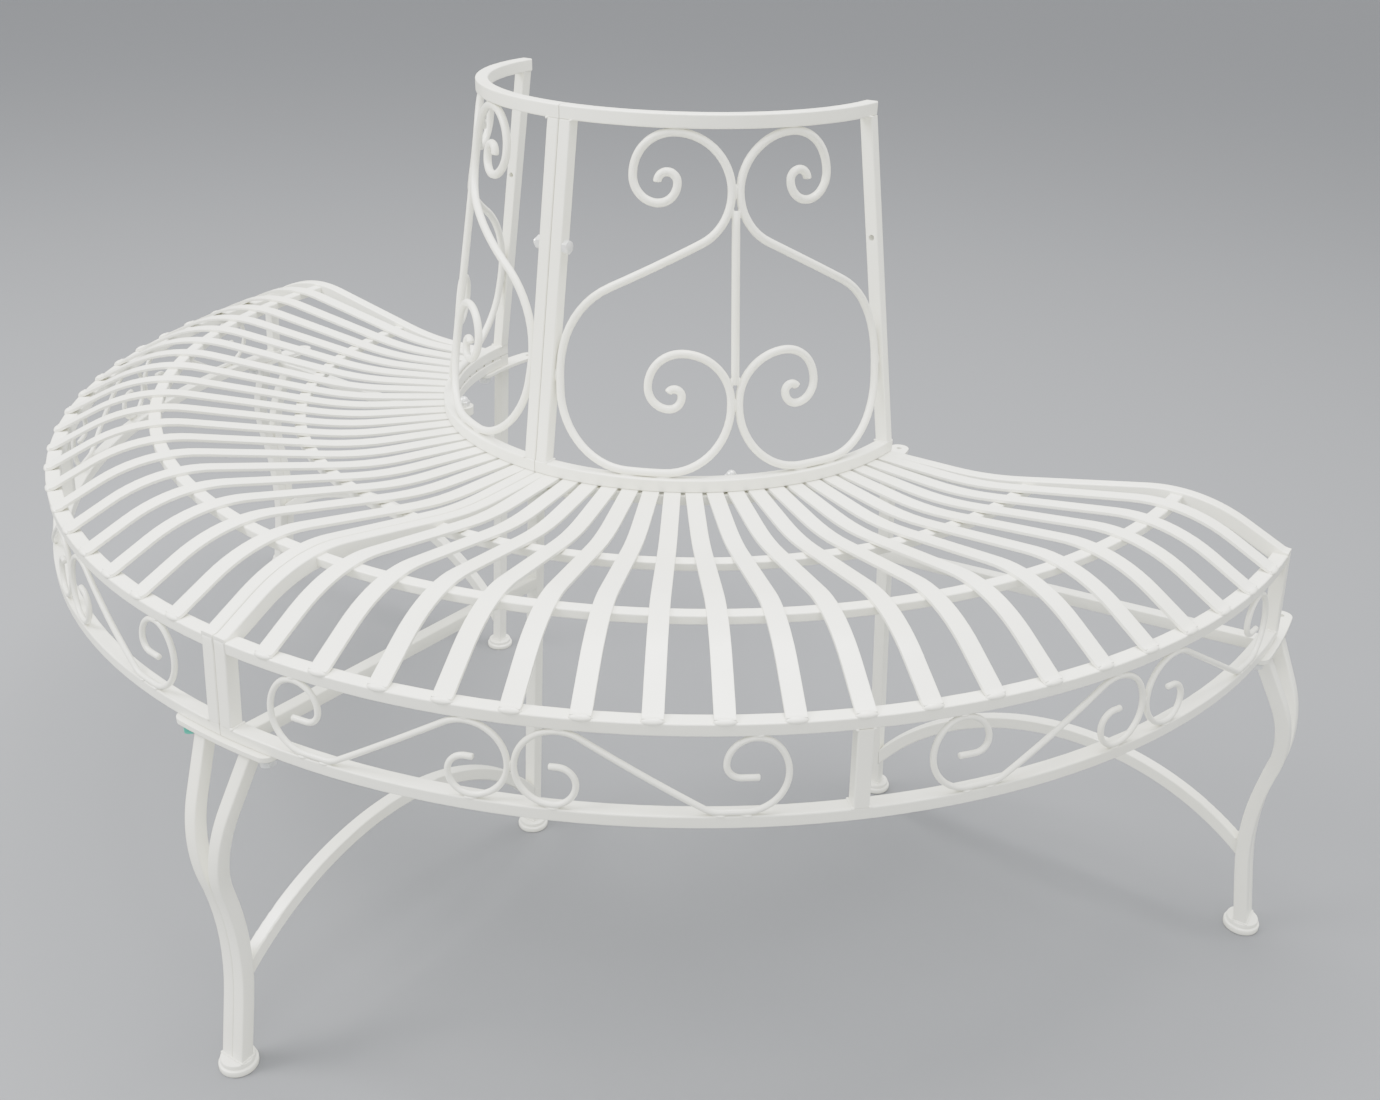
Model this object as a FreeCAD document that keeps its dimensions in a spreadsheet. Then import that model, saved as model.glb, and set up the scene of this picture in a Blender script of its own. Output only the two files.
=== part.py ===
import FreeCAD, Part
import math
import os
import re

import Sketcher

from FreeCAD import Placement, Rotation, Vector

# Semicircular steel tree bench: two curved sections bolted together on three leg frames.
# Model frame: +Z up, origin on the ground under the middle of the bounding box, seat facing -Y.
# The ring centre, which is also the middle of the tree trunk, lies at y = ring_offset.

DIMENSIONS = [
    ("section_sweep", 90, "angle of one curved section, degrees"),
    ("seam_gap", 1, "gap between neighbouring sections"),
    ("tube_side", 14, "square tube of rails, posts and legs"),
    ("tube_corner", 1.5, "outer corner radius of the tubes"),
    ("rim_radius", 730, "outer radius of the upper rim"),
    ("rim_width", 15, "radial width of both rims"),
    ("rim_height", 12, "height of both rims"),
    ("rim_top", 462, "top of the upper rim"),
    ("apron_clear", 73, "open height between the rims"),
    ("apron_flare", 6, "how much further out the lower rim lies"),
    ("rail_depth", 15, "depth of the seat side rails"),
    ("slat_count", 19, "slats in one section"),
    ("slat_width", 17.5, "slat width"),
    ("slat_thick", 3, "slat thickness"),
    ("slat_setback", 2, "slat end inside the rim face"),
    ("hollow_radius", 408, "radius of the corner at the back of the seat hollow"),
    ("hollow_blend", 380, "blend from the level seat to the rise"),
    ("crest_radius", 634, "radius of the crest corner"),
    ("crest_height", 509, "height of the crest corner"),
    ("crest_blend", 165, "blend over the crest"),
    ("lip_radius", 725, "radius where the slats turn level on the rim"),
    ("lip_blend", 12, "blend into the level slat ends"),
    ("bearer_width", 13, "radial width of the arcs under the slats"),
    ("bearer_height", 9, "height of the arcs under the slats"),
    ("outer_bearer", 620, "outer radius of the outer slat bearer"),
    ("inner_bearer", 465, "outer radius of the inner slat bearer"),
    ("seat_inner", 276, "inner radius of the seat"),
    ("seat_inner_height", 12, "height of the inner seat rail"),
    ("back_height", 843, "top of the backrest"),
    ("back_top_radius", 237, "outer radius of the backrest top rail"),
    ("back_foot_radius", 290, "outer radius of the backrest bottom rail"),
    ("seam_bolt_height", 704, "height of the bolt through the seam posts"),
    ("bolt_size", 6, "bolt diameter"),
    ("hole_play", 0.2, "radial play in bolt holes"),
    ("head_width", 10, "hexagon across flats"),
    ("head_height", 4, "bolt head height"),
    ("washer_size", 14, "washer diameter"),
    ("washer_thick", 1.5, "washer thickness"),
    ("apron_rod", 7, "rod diameter of the apron scrolls"),
    ("apron_reach", 114, "half length of an apron scroll to the rod centre"),
    ("apron_small_reach", 85, "centre of the inner upper arc of an apron scroll"),
    ("apron_hook", 10, "radius of the curled tip of an apron scroll"),
    ("apron_tip", 14, "straight tip of an apron scroll"),
    ("back_rod", 10, "rod diameter of the backrest scrolls"),
    ("scroll_slope", 23.3, "slope of the backrest scroll through its middle, degrees"),
    ("scroll_middle", 75, "distance of the scroll middle from the panel centre line"),
    ("post_contact", 600, "first guess of the height where a scroll meets its post"),
    ("rod_foot", 585, "lower end of the centre rod"),
    ("rod_head", 742, "upper end of the centre rod"),
    ("leg_width", 18, "tangential width of an outer leg tube"),
    ("leg_depth", 14, "radial depth of an outer leg tube"),
    ("leg_spread", 30.5, "tangential offset of the outer leg tubes at the plate"),
    ("leg_join", 205, "height below which the outer leg tubes lie side by side"),
    ("outer_plate_radius", 731, "middle radius of the outer lug plate"),
    ("inner_plate_radius", 283, "middle radius of the inner lug plate"),
    ("plate_half_width", 11, "half width of the lug plates"),
    ("outer_plate_thick", 5, "outer lug plate thickness"),
    ("inner_plate_thick", 4, "inner lug plate thickness"),
    ("outer_bolt_offset", 50, "outer plate holes from the frame plane"),
    ("inner_bolt_offset", 45, "inner plate holes from the frame plane"),
    ("socket_depth", 9, "depth of the bolt sockets in the rails"),
    ("foot_radius", 770, "radius at which the outer foot stands"),
    ("foot_size", 43, "outer foot diameter"),
    ("foot_height", 13, "outer foot height"),
    ("inner_foot_radius", 311, "radius at which the inner foot stands"),
    ("inner_foot_size", 36, "inner foot diameter"),
    ("inner_foot_height", 11, "inner foot height"),
    ("inner_leg_top", 288, "radius of the inner leg axis at its plate"),
    ("stay_drop", 22, "fall of the stay bar towards the inner leg"),
    ("brace_radius", 297.5, "middle radius of the arch brace"),
    ("brace_centre", 556.5, "radius of the arch brace centre"),
    ("brace_depth", 124, "depth of the arch brace centre below the ground"),
    ("lug_reach", 256, "inner end of the middle lugs"),
    ("lug_width", 22, "width of the middle lugs"),
    ("lug_thick", 5, "thickness of a middle lug"),
    ("lug_middle", 460.5, "height of the joint between the two middle lugs"),
]

doc = FreeCAD.newDocument("tree_bench")
sheet = doc.addObject("Spreadsheet::Sheet", "Dimensions")
for row, (alias, amount, meaning) in enumerate(DIMENSIONS, start=1):
    sheet.set(f"A{row}", meaning)
    sheet.set(f"B{row}", str(amount))
    sheet.setAlias(f"B{row}", alias)
doc.recompute()

size = {alias: float(sheet.get(alias)) for alias, _, _ in DIMENSIONS}
nodes = []


def linked(formula):
    """Point every sheet alias of a formula at the sheet."""
    return re.sub("[a-z_]+", lambda word: f"Dimensions.{word[0]}" if word[0] in size else word[0], formula)


def bind(item, setting, formula):
    """Drive one property of an object from the sheet."""
    item.setExpression(setting, linked(formula))


def publish(item, label, place=None):
    """Name a finished sub-part, place it and keep it for export."""
    item.Label = label
    if place is not None:
        item.Placement = place
    nodes.append(item)
    return item


def turned(angle, shift=0.0):
    """Placement about the ring axis at an angle in degrees, after a tangential shift."""
    centre = Placement(Vector(0, ring_offset, 0), Rotation(Vector(0, 0, 1), angle))
    return centre.multiply(Placement(Vector(0, shift, 0), Rotation()))


def local_turn(angle, shift=0.0):
    """Rotation about the local Z axis, after a tangential shift."""
    spin = Placement(Vector(0, 0, 0), Rotation(Vector(0, 0, 1), angle))
    return spin.multiply(Placement(Vector(0, shift, 0), Rotation()))


# Derived levels and radii

lower_rim_top = size["rim_top"] - size["rim_height"] - size["apron_clear"]
lower_rim_base = lower_rim_top - size["rim_height"]
lower_rim_radius = size["rim_radius"] + size["apron_flare"]
inner_rail_top = size["rim_top"] - size["slat_thick"]
inner_rail_base = inner_rail_top - size["seat_inner_height"]
outer_plate_base = lower_rim_base - size["outer_plate_thick"]
inner_plate_base = inner_rail_base - size["inner_plate_thick"]
back_base = size["rim_top"] + size["tube_side"]
back_under = size["back_height"] - size["tube_side"]
half_gap = size["seam_gap"] / 2
rail_inset = half_gap + size["tube_side"]
outer_plate_reach = size["outer_bolt_offset"] + size["plate_half_width"]
inner_plate_reach = size["inner_bolt_offset"] + size["plate_half_width"]
front_reach = size["foot_radius"] + size["foot_size"] / 2
ring_offset = (front_reach - outer_plate_reach) / 2
half_sweep = size["section_sweep"] / 2


# Chains of lines and tangent arcs in a plane

def rounded_chain(corners, radii):
    """Join corners with lines and round the inner corners: [(start, middle, end), ...]."""
    points = [Vector(*corner, 0) for corner in corners]
    pieces = []
    start = points[0]
    for index, radius in enumerate(radii, start=1):
        corner = points[index]
        back = (points[index - 1] - corner).normalize()
        ahead = (points[index + 1] - corner).normalize()
        half = back.getAngle(ahead) / 2
        cut = radius / math.tan(half)
        bisector = (back + ahead).normalize()
        centre = corner + bisector * (radius / math.sin(half))
        first = corner + back * cut
        last = corner + ahead * cut
        pieces.append((start, None, first))
        pieces.append((first, centre - bisector * radius, last))
        start = last
    pieces.append((start, None, points[-1]))
    return pieces


def offset_chain(pieces, distance):
    """Chain parallel to a rounded chain, to its left for a positive distance."""
    moved = []
    for start, middle, end in pieces:
        if middle is None:
            along = (end - start).normalize()
            side = Vector(-along.y, along.x, 0) * distance
            moved.append((start + side, None, end + side))
            continue
        arc = Part.Arc(start, middle, end).toShape().Curve
        centre = arc.Center
        turning = (middle - start).cross(end - middle).z
        factor = 1 - math.copysign(1, turning) * distance / arc.Radius
        moved.append(tuple(centre + (point - centre) * factor for point in (start, middle, end)))
    return moved


def chain_curves(pieces):
    """Sketcher curves of a chain."""
    curves = []
    for start, middle, end in pieces:
        if middle is None:
            curves.append(Part.LineSegment(start, end))
        else:
            curves.append(Part.Arc(start, middle, end))
    return curves


def strip_curves(pieces, thickness):
    """Closed outline between a chain and its parallel below."""
    below = offset_chain(pieces, -thickness)
    ends = [Part.LineSegment(pieces[0][0], below[0][0]), Part.LineSegment(pieces[-1][2], below[-1][2])]
    return chain_curves(pieces) + chain_curves(below) + ends


def loop_curves(corners):
    """Closed polygon from a list of corners."""
    points = [Vector(*corner, 0) for corner in corners]
    return [Part.LineSegment(a, b) for a, b in zip(points, points[1:] + points[:1])]


# Part design helpers

def new_body(name):
    return doc.addObject("PartDesign::Body", name)


def plane_of(body, role):
    """Origin plane of a body by its role."""
    return next(item for item in body.Origin.OriginFeatures if item.Role == role)


def new_sketch(body, role, curves, lift=0.0):
    """Sketch of ready curves on an origin plane, lifted along the plane's normal."""
    sketch = body.newObject("Sketcher::SketchObject", body.Name + "_sketch")
    sketch.AttachmentSupport = [(plane_of(body, role), "")]
    sketch.MapMode = "FlatFace"
    sketch.AttachmentOffset = Placement(Vector(0, 0, lift), Rotation())
    for curve in curves:
        sketch.addGeometry(curve, False)
    return sketch


def pad(body, sketch, formula, midplane=False):
    """Pad a sketch by a length from the sheet."""
    feature = body.newObject("PartDesign::Pad", body.Name + "_pad")
    feature.Profile = sketch
    feature.Midplane = midplane
    bind(feature, "Length", formula)
    body.Tip = feature
    return feature


def round_edges(body, base, wanted, formula):
    """Round the edges of a feature that a test picks."""
    doc.recompute()
    names = [f"Edge{n}" for n, edge in enumerate(base.Shape.Edges, start=1) if wanted(edge)]
    feature = body.newObject("PartDesign::Fillet", body.Name + "_corners")
    feature.Base = (base, names)
    bind(feature, "Radius", formula)
    body.Tip = feature
    return feature


def cut_sketch(body, sketch, length, reversed_cut=False, midplane=False):
    """Pocket of a sketch that must take material away."""
    before = body.Tip.Shape.Volume
    feature = body.newObject("PartDesign::Pocket", body.Name + "_pocket")
    feature.Profile = sketch
    feature.Midplane = midplane
    feature.Reversed = reversed_cut
    feature.Length = length
    body.Tip = feature
    doc.recompute()
    if feature.Shape.Volume >= before:
        raise RuntimeError(f"{body.Name}: the pocket cuts nothing")
    return feature


def constrained_rectangle(body, left, base, width, height):
    """Rectangle in the radial plane whose four sizes are formulas of the sheet."""
    sketch = body.newObject("Sketcher::SketchObject", body.Name + "_section")
    sketch.AttachmentSupport = [(plane_of(body, "XZ_Plane"), "")]
    sketch.MapMode = "FlatFace"
    for curve in loop_curves([(300, 400), (320, 400), (320, 420), (300, 420)]):
        sketch.addGeometry(curve, False)
    for side in range(4):
        sketch.addConstraint(Sketcher.Constraint("Coincident", side, 2, (side + 1) % 4, 1))
    for side, kind in enumerate(("Horizontal", "Vertical", "Horizontal", "Vertical")):
        sketch.addConstraint(Sketcher.Constraint(kind, side))
    rules = [
        (Sketcher.Constraint("DistanceX", -1, 1, 0, 1, 300.0), left),
        (Sketcher.Constraint("DistanceY", -1, 1, 0, 1, 400.0), base),
        (Sketcher.Constraint("DistanceX", 0, 1, 0, 2, 20.0), width),
        (Sketcher.Constraint("DistanceY", 1, 1, 1, 2, 20.0), height),
    ]
    for constraint, formula in rules:
        number = sketch.addConstraint(constraint)
        sketch.setExpression(f"Constraints[{number}]", linked(formula))
    return sketch


def ring_bar(name, left, base, width, height, inset, socket_radius=None, socket_offset=None):
    """Rectangular bar bent to the section's arc, with ends parallel to the section's end planes."""
    body = new_body(name)
    sketch = constrained_rectangle(body, left, base, width, height)
    ring = body.newObject("PartDesign::Revolution", name + "_ring")
    ring.Profile = sketch
    ring.ReferenceAxis = (sketch, ["V_Axis"])
    ring.Midplane = True
    bind(ring, "Angle", "section_sweep")
    body.Tip = ring
    doc.recompute()
    far = 2 * size["rim_radius"]
    apex = inset / math.sin(math.radians(half_sweep))
    run = far * math.cos(math.radians(half_sweep))
    rise = far * math.sin(math.radians(half_sweep))
    outline = [(apex, 0), (apex + run, rise), (-far, rise), (-far, -rise), (apex + run, -rise)]
    cut_sketch(body, new_sketch(body, "XY_Plane", loop_curves(outline)), 2 * far, midplane=True)
    if socket_radius is not None:
        bore = []
        for side in (-1, 1):
            point = off_plane_point(socket_radius, socket_offset, side)
            bore.append(Part.Circle(point, Vector(0, 0, 1), size["bolt_size"] / 2))
        floor = body.Tip.Shape.BoundBox.ZMin
        cut_sketch(body, new_sketch(body, "XY_Plane", bore, floor), size["socket_depth"], True)
    round_edges(body, body.Tip, lambda edge: edge.Length > 4 * size["rim_width"], "tube_corner")
    return body


def off_plane_point(radius, offset, side):
    """Point at a radius and at a distance inside the section's end plane on one side."""
    angle = math.radians(half_sweep) - math.asin(offset / radius)
    return Vector(radius * math.cos(angle), side * radius * math.sin(angle), 0)


def radial_bar(name, outline, width, holes=(), rounded=True):
    """Bar padded evenly about the radial plane from its side outline."""
    body = new_body(name)
    sketch = new_sketch(body, "XZ_Plane", list(outline) + list(holes))
    feature = pad(body, sketch, width, midplane=True)
    if rounded:
        limit = 2 * size["tube_side"]
        round_edges(body, feature, lambda edge: edge.Length > limit, "tube_corner")
    return body


def leaning_outline(lower, upper, depth):
    """Parallelogram with level ends about an axis between two (radius, height) points."""
    (low_r, low_z), (high_r, high_z) = lower, upper
    lean = math.atan2(high_r - low_r, high_z - low_z)
    half = depth / math.cos(lean) / 2
    return loop_curves([
        (low_r - half, low_z), (low_r + half, low_z), (high_r + half, high_z), (high_r - half, high_z),
    ])


def group(name, members):
    """Separate solids kept together as one sub-part."""
    item = doc.addObject("Part::Compound", name)
    item.Links = members
    return item


# Rods bent from lines and tangent arcs

def walk(start, heading, steps):
    """Points and directions of a flat path of (radius, turn) arcs and (None, length) lines."""
    place = Vector(*start, 0)
    marks = [(place, Vector(math.cos(heading), math.sin(heading), 0), "start")]
    for radius, amount in steps:
        if radius is None:
            place = place + Vector(math.cos(heading), math.sin(heading), 0) * amount
            marks.append((place, marks[-1][1], "line"))
            continue
        parts = max(1, math.ceil(abs(amount) / math.radians(50)))
        side = math.copysign(1, amount)
        for _ in range(parts):
            centre = place + Vector(-math.sin(heading), math.cos(heading), 0) * radius * side
            heading += amount / parts
            place = centre - Vector(-math.sin(heading), math.cos(heading), 0) * radius * side
            marks.append((place, Vector(math.cos(heading), math.sin(heading), 0), "arc"))
    return marks


def biarc_joint(start, start_way, end, end_way):
    """Middle point of two tangent arcs between two points with given directions."""
    chord = end - start
    total = start_way + end_way
    spread = 2 * (1 - start_way.dot(end_way))
    along = chord.dot(total)
    if spread < 1e-9:
        reach = chord.dot(chord) / (2 * along)
    else:
        reach = (math.sqrt(along * along + spread * chord.dot(chord)) - along) / spread
    return (start + end + (start_way - end_way) * reach) * 0.5


def sweep_step(circle, place, way, target):
    """Sheet of rod surface from the circle to a target point along a tangent arc or line."""
    chord = target - place
    sideways = chord - way * chord.dot(way)
    if sideways.Length < 1e-6 * chord.Length:
        sheet_face = circle.extrude(chord)
        ring = circle.copy()
        ring.translate(chord)
        return sheet_face, ring, way
    inward = sideways.normalize()
    radius = chord.dot(chord) / (2 * chord.dot(inward))
    centre = place + inward * radius
    axis = way.cross(inward)
    turn = 2 * math.asin(min(1.0, chord.Length / (2 * radius)))
    degrees = math.degrees(turn)
    sheet_face = circle.revolve(centre, axis, degrees)
    ring = circle.copy()
    ring.rotate(centre, axis, degrees)
    return sheet_face, ring, Rotation(axis, degrees).multVec(way)


def bent_rod(marks, radius):
    """Solid round rod through (point, direction, kind) marks, smooth at every joint."""
    place, way, _ = marks[0]
    circle = Part.makeCircle(radius, place, way)
    faces = [Part.Face(Part.Wire(circle))]
    for target, target_way, kind in marks[1:]:
        stops = [target]
        if kind == "arc":
            stops = [biarc_joint(place, way, target, target_way), target]
        for stop in stops:
            sheet_face, circle, way = sweep_step(circle, place, way, stop)
            faces.extend(sheet_face.Faces)
            place = stop
    faces.append(Part.Face(Part.Wire(circle)))
    shell = Part.Shell(faces)
    shell.sewShape()
    solid = Part.Solid(shell)
    if solid.Volume < 0:
        solid.reverse()
    return solid


def shape_node(name, shapes):
    """Object that holds ready solids."""
    item = doc.addObject("Part::Feature", name)
    item.Shape = shapes[0] if len(shapes) == 1 else Part.makeCompound(shapes)
    return item


# Seat

slat_top = rounded_chain(
    [
        (size["seat_inner"] + 1, size["rim_top"]),
        (size["hollow_radius"], size["rim_top"]),
        (size["crest_radius"], size["crest_height"]),
        (size["lip_radius"], size["rim_top"] + size["slat_thick"]),
        (size["rim_radius"] - size["slat_setback"], size["rim_top"] + size["slat_thick"]),
    ],
    [size["hollow_blend"], size["crest_blend"], size["lip_blend"]],
)
rail_top = [(Vector(size["seat_inner"], size["rim_top"], 0), None, slat_top[0][2])] + slat_top[1:-1]
rail_top.append((slat_top[-1][0], None, Vector(size["rim_radius"], slat_top[-1][2].y, 0)))


def height_on(pieces, radius):
    """Height of a chain above the ground at a radius."""
    for start, middle, end in pieces:
        if start.x <= radius <= end.x:
            if middle is None:
                return start.y + (end.y - start.y) * (radius - start.x) / (end.x - start.x)
            arc = Part.Arc(start, middle, end).toShape().Curve
            rise = math.sqrt(arc.Radius ** 2 - (radius - arc.Center.x) ** 2)
            return arc.Center.y + math.copysign(rise, middle.y - arc.Center.y)
    raise ValueError(f"no chain at radius {radius}")


def bearer_top(outer_radius):
    """Top of a slat bearer that just meets the slats' underside."""
    under = offset_chain(slat_top, -size["slat_thick"])
    inner_radius = outer_radius - size["bearer_width"]
    return min(height_on(under, inner_radius), height_on(under, outer_radius)) - 0.02


def seat_slats(name):
    """Slats fanned at an even pitch, trimmed where the outermost ones meet the side rails."""
    body = new_body(name)
    sketch = new_sketch(body, "XZ_Plane", strip_curves(slat_top, size["slat_thick"]))
    pitch = size["section_sweep"] / (size["slat_count"] + 1)
    first = Rotation(Vector(0, 1, 0), pitch - half_sweep)
    sketch.AttachmentOffset = Placement(Vector(0, 0, 0), first)
    slat = pad(body, sketch, "slat_width", midplane=True)
    doc.recompute()
    fan = body.newObject("PartDesign::PolarPattern", name + "_fan")
    fan.Originals = [slat]
    fan.Axis = (plane_of(body, "Z_Axis"), [""])
    bind(fan, "Occurrences", "slat_count")
    fan.Angle = size["section_sweep"] - 2 * pitch
    body.Tip = fan
    doc.recompute()
    apex = rail_inset / math.sin(math.radians(half_sweep))
    inner = size["seat_inner"] * math.cos(math.radians(half_sweep)) - rail_inset
    run = inner + 3 * size["tube_side"]
    for side in (-1, 1):
        outline = [(apex, 0), (apex + run, side * run), (apex, side * run)]
        sketch = new_sketch(body, "XY_Plane", loop_curves(outline))
        cut_sketch(body, sketch, 2 * size["rim_top"] + size["back_height"], midplane=True)
    return body


def side_rail(name):
    """Seat side rail that follows the slats and ends level over the apron post."""
    rail = radial_bar(name, strip_curves(rail_top, size["rail_depth"]), "tube_side")
    return rail


def back_axis(height):
    """Radius of the backrest's middle surface at a height."""
    foot = size["back_foot_radius"] - size["tube_side"] / 2
    head = size["back_top_radius"] - size["tube_side"] / 2
    span = size["back_height"] - size["tube_side"] - size["rim_top"]
    return foot - (foot - head) * (height - size["rim_top"] - size["tube_side"] / 2) / span


def back_post(name):
    """Leaning backrest post with the hole of the joining bolt."""
    ends = (back_axis(back_base), back_base), (back_axis(back_under), back_under)
    outline = leaning_outline(*ends, size["tube_side"])
    bolt = Vector(back_axis(size["seam_bolt_height"]), size["seam_bolt_height"], 0)
    hole = Part.Circle(bolt, Vector(0, 0, 1), size["bolt_size"] / 2 + size["hole_play"])
    return radial_bar(name, outline, "tube_side", [hole])


def apron_posts(name, rails):
    """Raked posts between the rims: one under each side rail and one at mid section."""
    depth = size["tube_side"]
    lean = math.atan2(size["apron_flare"], size["apron_clear"] + size["rim_height"])
    half = depth / math.cos(lean) / 2
    slope = math.tan(lean)
    rim_base = size["rim_top"] - size["rim_height"]
    foot = (lower_rim_radius - half, lower_rim_top)
    members = []
    for number, (angle, shift, rail) in enumerate(rails):
        head_z = rim_base if rail is None else size["rim_top"]
        head = (foot[0] - (head_z - lower_rim_top) * slope, head_z)
        post = radial_bar(f"{name}_{number}", leaning_outline(foot, head, depth), "tube_side")
        post.Placement = local_turn(angle, shift)
        if rail is not None:
            trimmed = doc.addObject("Part::Cut", f"{name}_{number}_trimmed")
            trimmed.Base = post
            trimmed.Tool = rail
            post = trimmed
        members.append(post)
    return group(name, members)


# Ornamental rods

def apron_scroll_marks():
    """Flat path of an apron scroll, point symmetric about its middle."""
    half_height = (size["apron_clear"] - size["apron_rod"]) / 2
    lobe_rise = size["apron_reach"] - size["apron_small_reach"] - half_height + 7
    outer = half_height + lobe_rise
    inner = half_height - lobe_rise
    across = size["apron_reach"] - outer
    distance = math.hypot(across, lobe_rise)
    slope = math.asin(outer / distance) - math.atan2(lobe_rise, across)
    straight = math.sqrt(distance ** 2 - outer ** 2)
    steps = [
        (None, straight),
        (outer, -(math.pi / 2 + slope)),
        (inner, -math.pi),
        (size["apron_hook"], -math.pi / 2),
        (None, size["apron_tip"]),
    ]
    half = walk((0, 0), math.pi + slope, steps)
    other = [(place * -1, way, kind) for place, way, kind in reversed(half[1:])]
    kinds = [kind for _, _, kind in reversed(half)]
    marks = [(other[0][0], other[0][1], "start")]
    for (place, way, _), kind in zip(other[1:], kinds):
        marks.append((place, way, kind))
    marks.append((half[0][0], half[0][1], kinds[-2]))
    return marks + half[1:]


def apron_scrolls(name):
    """Two mirrored scrolls in each half of the apron, flat in their own chord planes."""
    reach = size["apron_reach"] + size["apron_rod"] / 2 + 0.02
    plane = size["rim_radius"] - size["rim_width"] / 2
    middle = lower_rim_top + size["apron_clear"] / 2
    swing = math.degrees(math.atan2(reach, plane))
    rods = []
    for bay in (-half_sweep / 2, half_sweep / 2):
        for side in (-1, 1):
            marks = []
            for place, way, kind in apron_scroll_marks():
                spot = Vector(plane, place.x * side, middle + place.y)
                marks.append((spot, Vector(0, way.x * side, way.y), kind))
            rod = bent_rod(marks, size["apron_rod"] / 2)
            rod.rotate(Vector(0, 0, 0), Vector(0, 0, 1), bay + side * swing)
            rods.append(rod)
    return shape_node(name, rods)


def wrap(place, way):
    """Point and direction of the flat backrest drawing on the backrest's cone."""
    radius = back_axis(place.y)
    fall = back_axis(1) - back_axis(0)
    growth = fall * way.y
    angle = place.x / radius
    swing = way.x / radius - place.x * growth / radius ** 2
    spot = Vector(radius * math.cos(angle), radius * math.sin(angle), place.y)
    outward = Vector(math.cos(angle), math.sin(angle), 0)
    sideways = Vector(-math.sin(angle), math.cos(angle), 0)
    course = outward * growth + sideways * (radius * swing) + Vector(0, 0, way.y)
    return spot, course.normalize()


def back_scroll_marks():
    """Flat path of the left backrest scroll, from its upper curl to its lower curl."""
    rod = size["back_rod"] / 2
    slope = math.radians(size["scroll_slope"])
    start_x = -size["scroll_middle"]
    quarter = math.pi / 2
    right = -rod - 0.02
    top = back_under - rod
    bottom = back_base + rod
    rise_bend, crown = 54.5, 56.8
    drop_bend, heel, toe = 107.0, 74.0, 70.7
    climb = (right - start_x - rise_bend * (1 - math.sin(slope))) / math.cos(slope)
    start_z = top - crown - rise_bend * math.cos(slope) - climb * math.sin(slope)
    edge_lean = math.atan((back_axis(0) - back_axis(1)) * math.radians(half_sweep))
    left_z = size["post_contact"]
    for _ in range(20):
        contact = left_z + drop_bend * math.sin(edge_lean)
        edge = math.radians(half_sweep) * back_axis(contact) - rail_inset - rod
        left = 0.2 - edge - drop_bend * (1 - math.cos(edge_lean))
        descent = (start_x - left - drop_bend * (1 - math.sin(slope))) / math.cos(slope)
        left_z = start_z - descent * math.sin(slope) - drop_bend * math.cos(slope)
    upper = [
        (None, climb), (rise_bend, quarter - slope), (crown, quarter), (43.6, quarter),
        (26.1, quarter), (21.2, quarter), (10.0, math.radians(170)),
    ]
    lower = [
        (None, descent), (drop_bend, quarter - slope), (None, left_z - bottom - heel),
        (heel, quarter), (None, right - left - heel - toe), (toe, quarter), (None, 20.0),
        (44.3, quarter), (41.5, quarter), (17.0, quarter), (19.0, quarter), (9.0, math.radians(150)),
    ]
    up = walk((start_x, start_z), slope, upper)
    down = walk((start_x, start_z), math.pi + slope, lower)
    kinds = [kind for _, _, kind in up]
    reverse = [(place, way * -1) for place, way, _ in reversed(up)]
    marks = [(reverse[0][0], reverse[0][1], "start")]
    for (place, way), kind in zip(reverse[1:], reversed(kinds[1:])):
        marks.append((place, way, kind))
    return marks + down[1:]


def back_scrolls(name):
    """Two mirrored scrolls that fill a backrest panel."""
    marks = []
    for place, way, kind in back_scroll_marks():
        spot, course = wrap(place, way)
        marks.append((spot, course, "arc"))
    left = bent_rod(marks, size["back_rod"] / 2)
    right = left.mirror(Vector(0, 0, 0), Vector(0, 1, 0))
    return shape_node(name, [left, right])


def back_rod(name, scrolls):
    """Centre rod coped to the junctions of the two scrolls."""
    foot, _ = wrap(Vector(0, size["rod_foot"], 0), Vector(0, 1, 0))
    head, _ = wrap(Vector(0, size["rod_head"], 0), Vector(0, 1, 0))
    rod = doc.addObject("Part::Cylinder", name + "_bar")
    bind(rod, "Radius", "back_rod / 2")
    rod.Height = (head - foot).Length
    rod.Placement = Placement(foot, Rotation(Vector(0, 0, 1), head - foot))
    coped = doc.addObject("Part::Cut", name)
    coped.Base = rod
    coped.Tool = scrolls
    return coped


def middle_lug(name, base):
    """Rounded lug that points inward from a rail, with its bolt hole."""
    half = size["lug_width"] / 2
    inner = size["seat_inner"]
    middle = size["lug_reach"] + half
    edge = math.sqrt(inner ** 2 - half ** 2)
    curves = [
        Part.LineSegment(Vector(middle, half, 0), Vector(edge, half, 0)),
        Part.Arc(Vector(edge, half, 0), Vector(inner, 0, 0), Vector(edge, -half, 0)),
        Part.LineSegment(Vector(edge, -half, 0), Vector(middle, -half, 0)),
        Part.Arc(Vector(middle, -half, 0), Vector(size["lug_reach"], 0, 0), Vector(middle, half, 0)),
        Part.Circle(Vector(middle, 0, 0), Vector(0, 0, 1), size["bolt_size"] / 2 + size["hole_play"]),
    ]
    body = new_body(name)
    pad(body, new_sketch(body, "XY_Plane", curves, base), "lug_thick")
    return body


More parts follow.
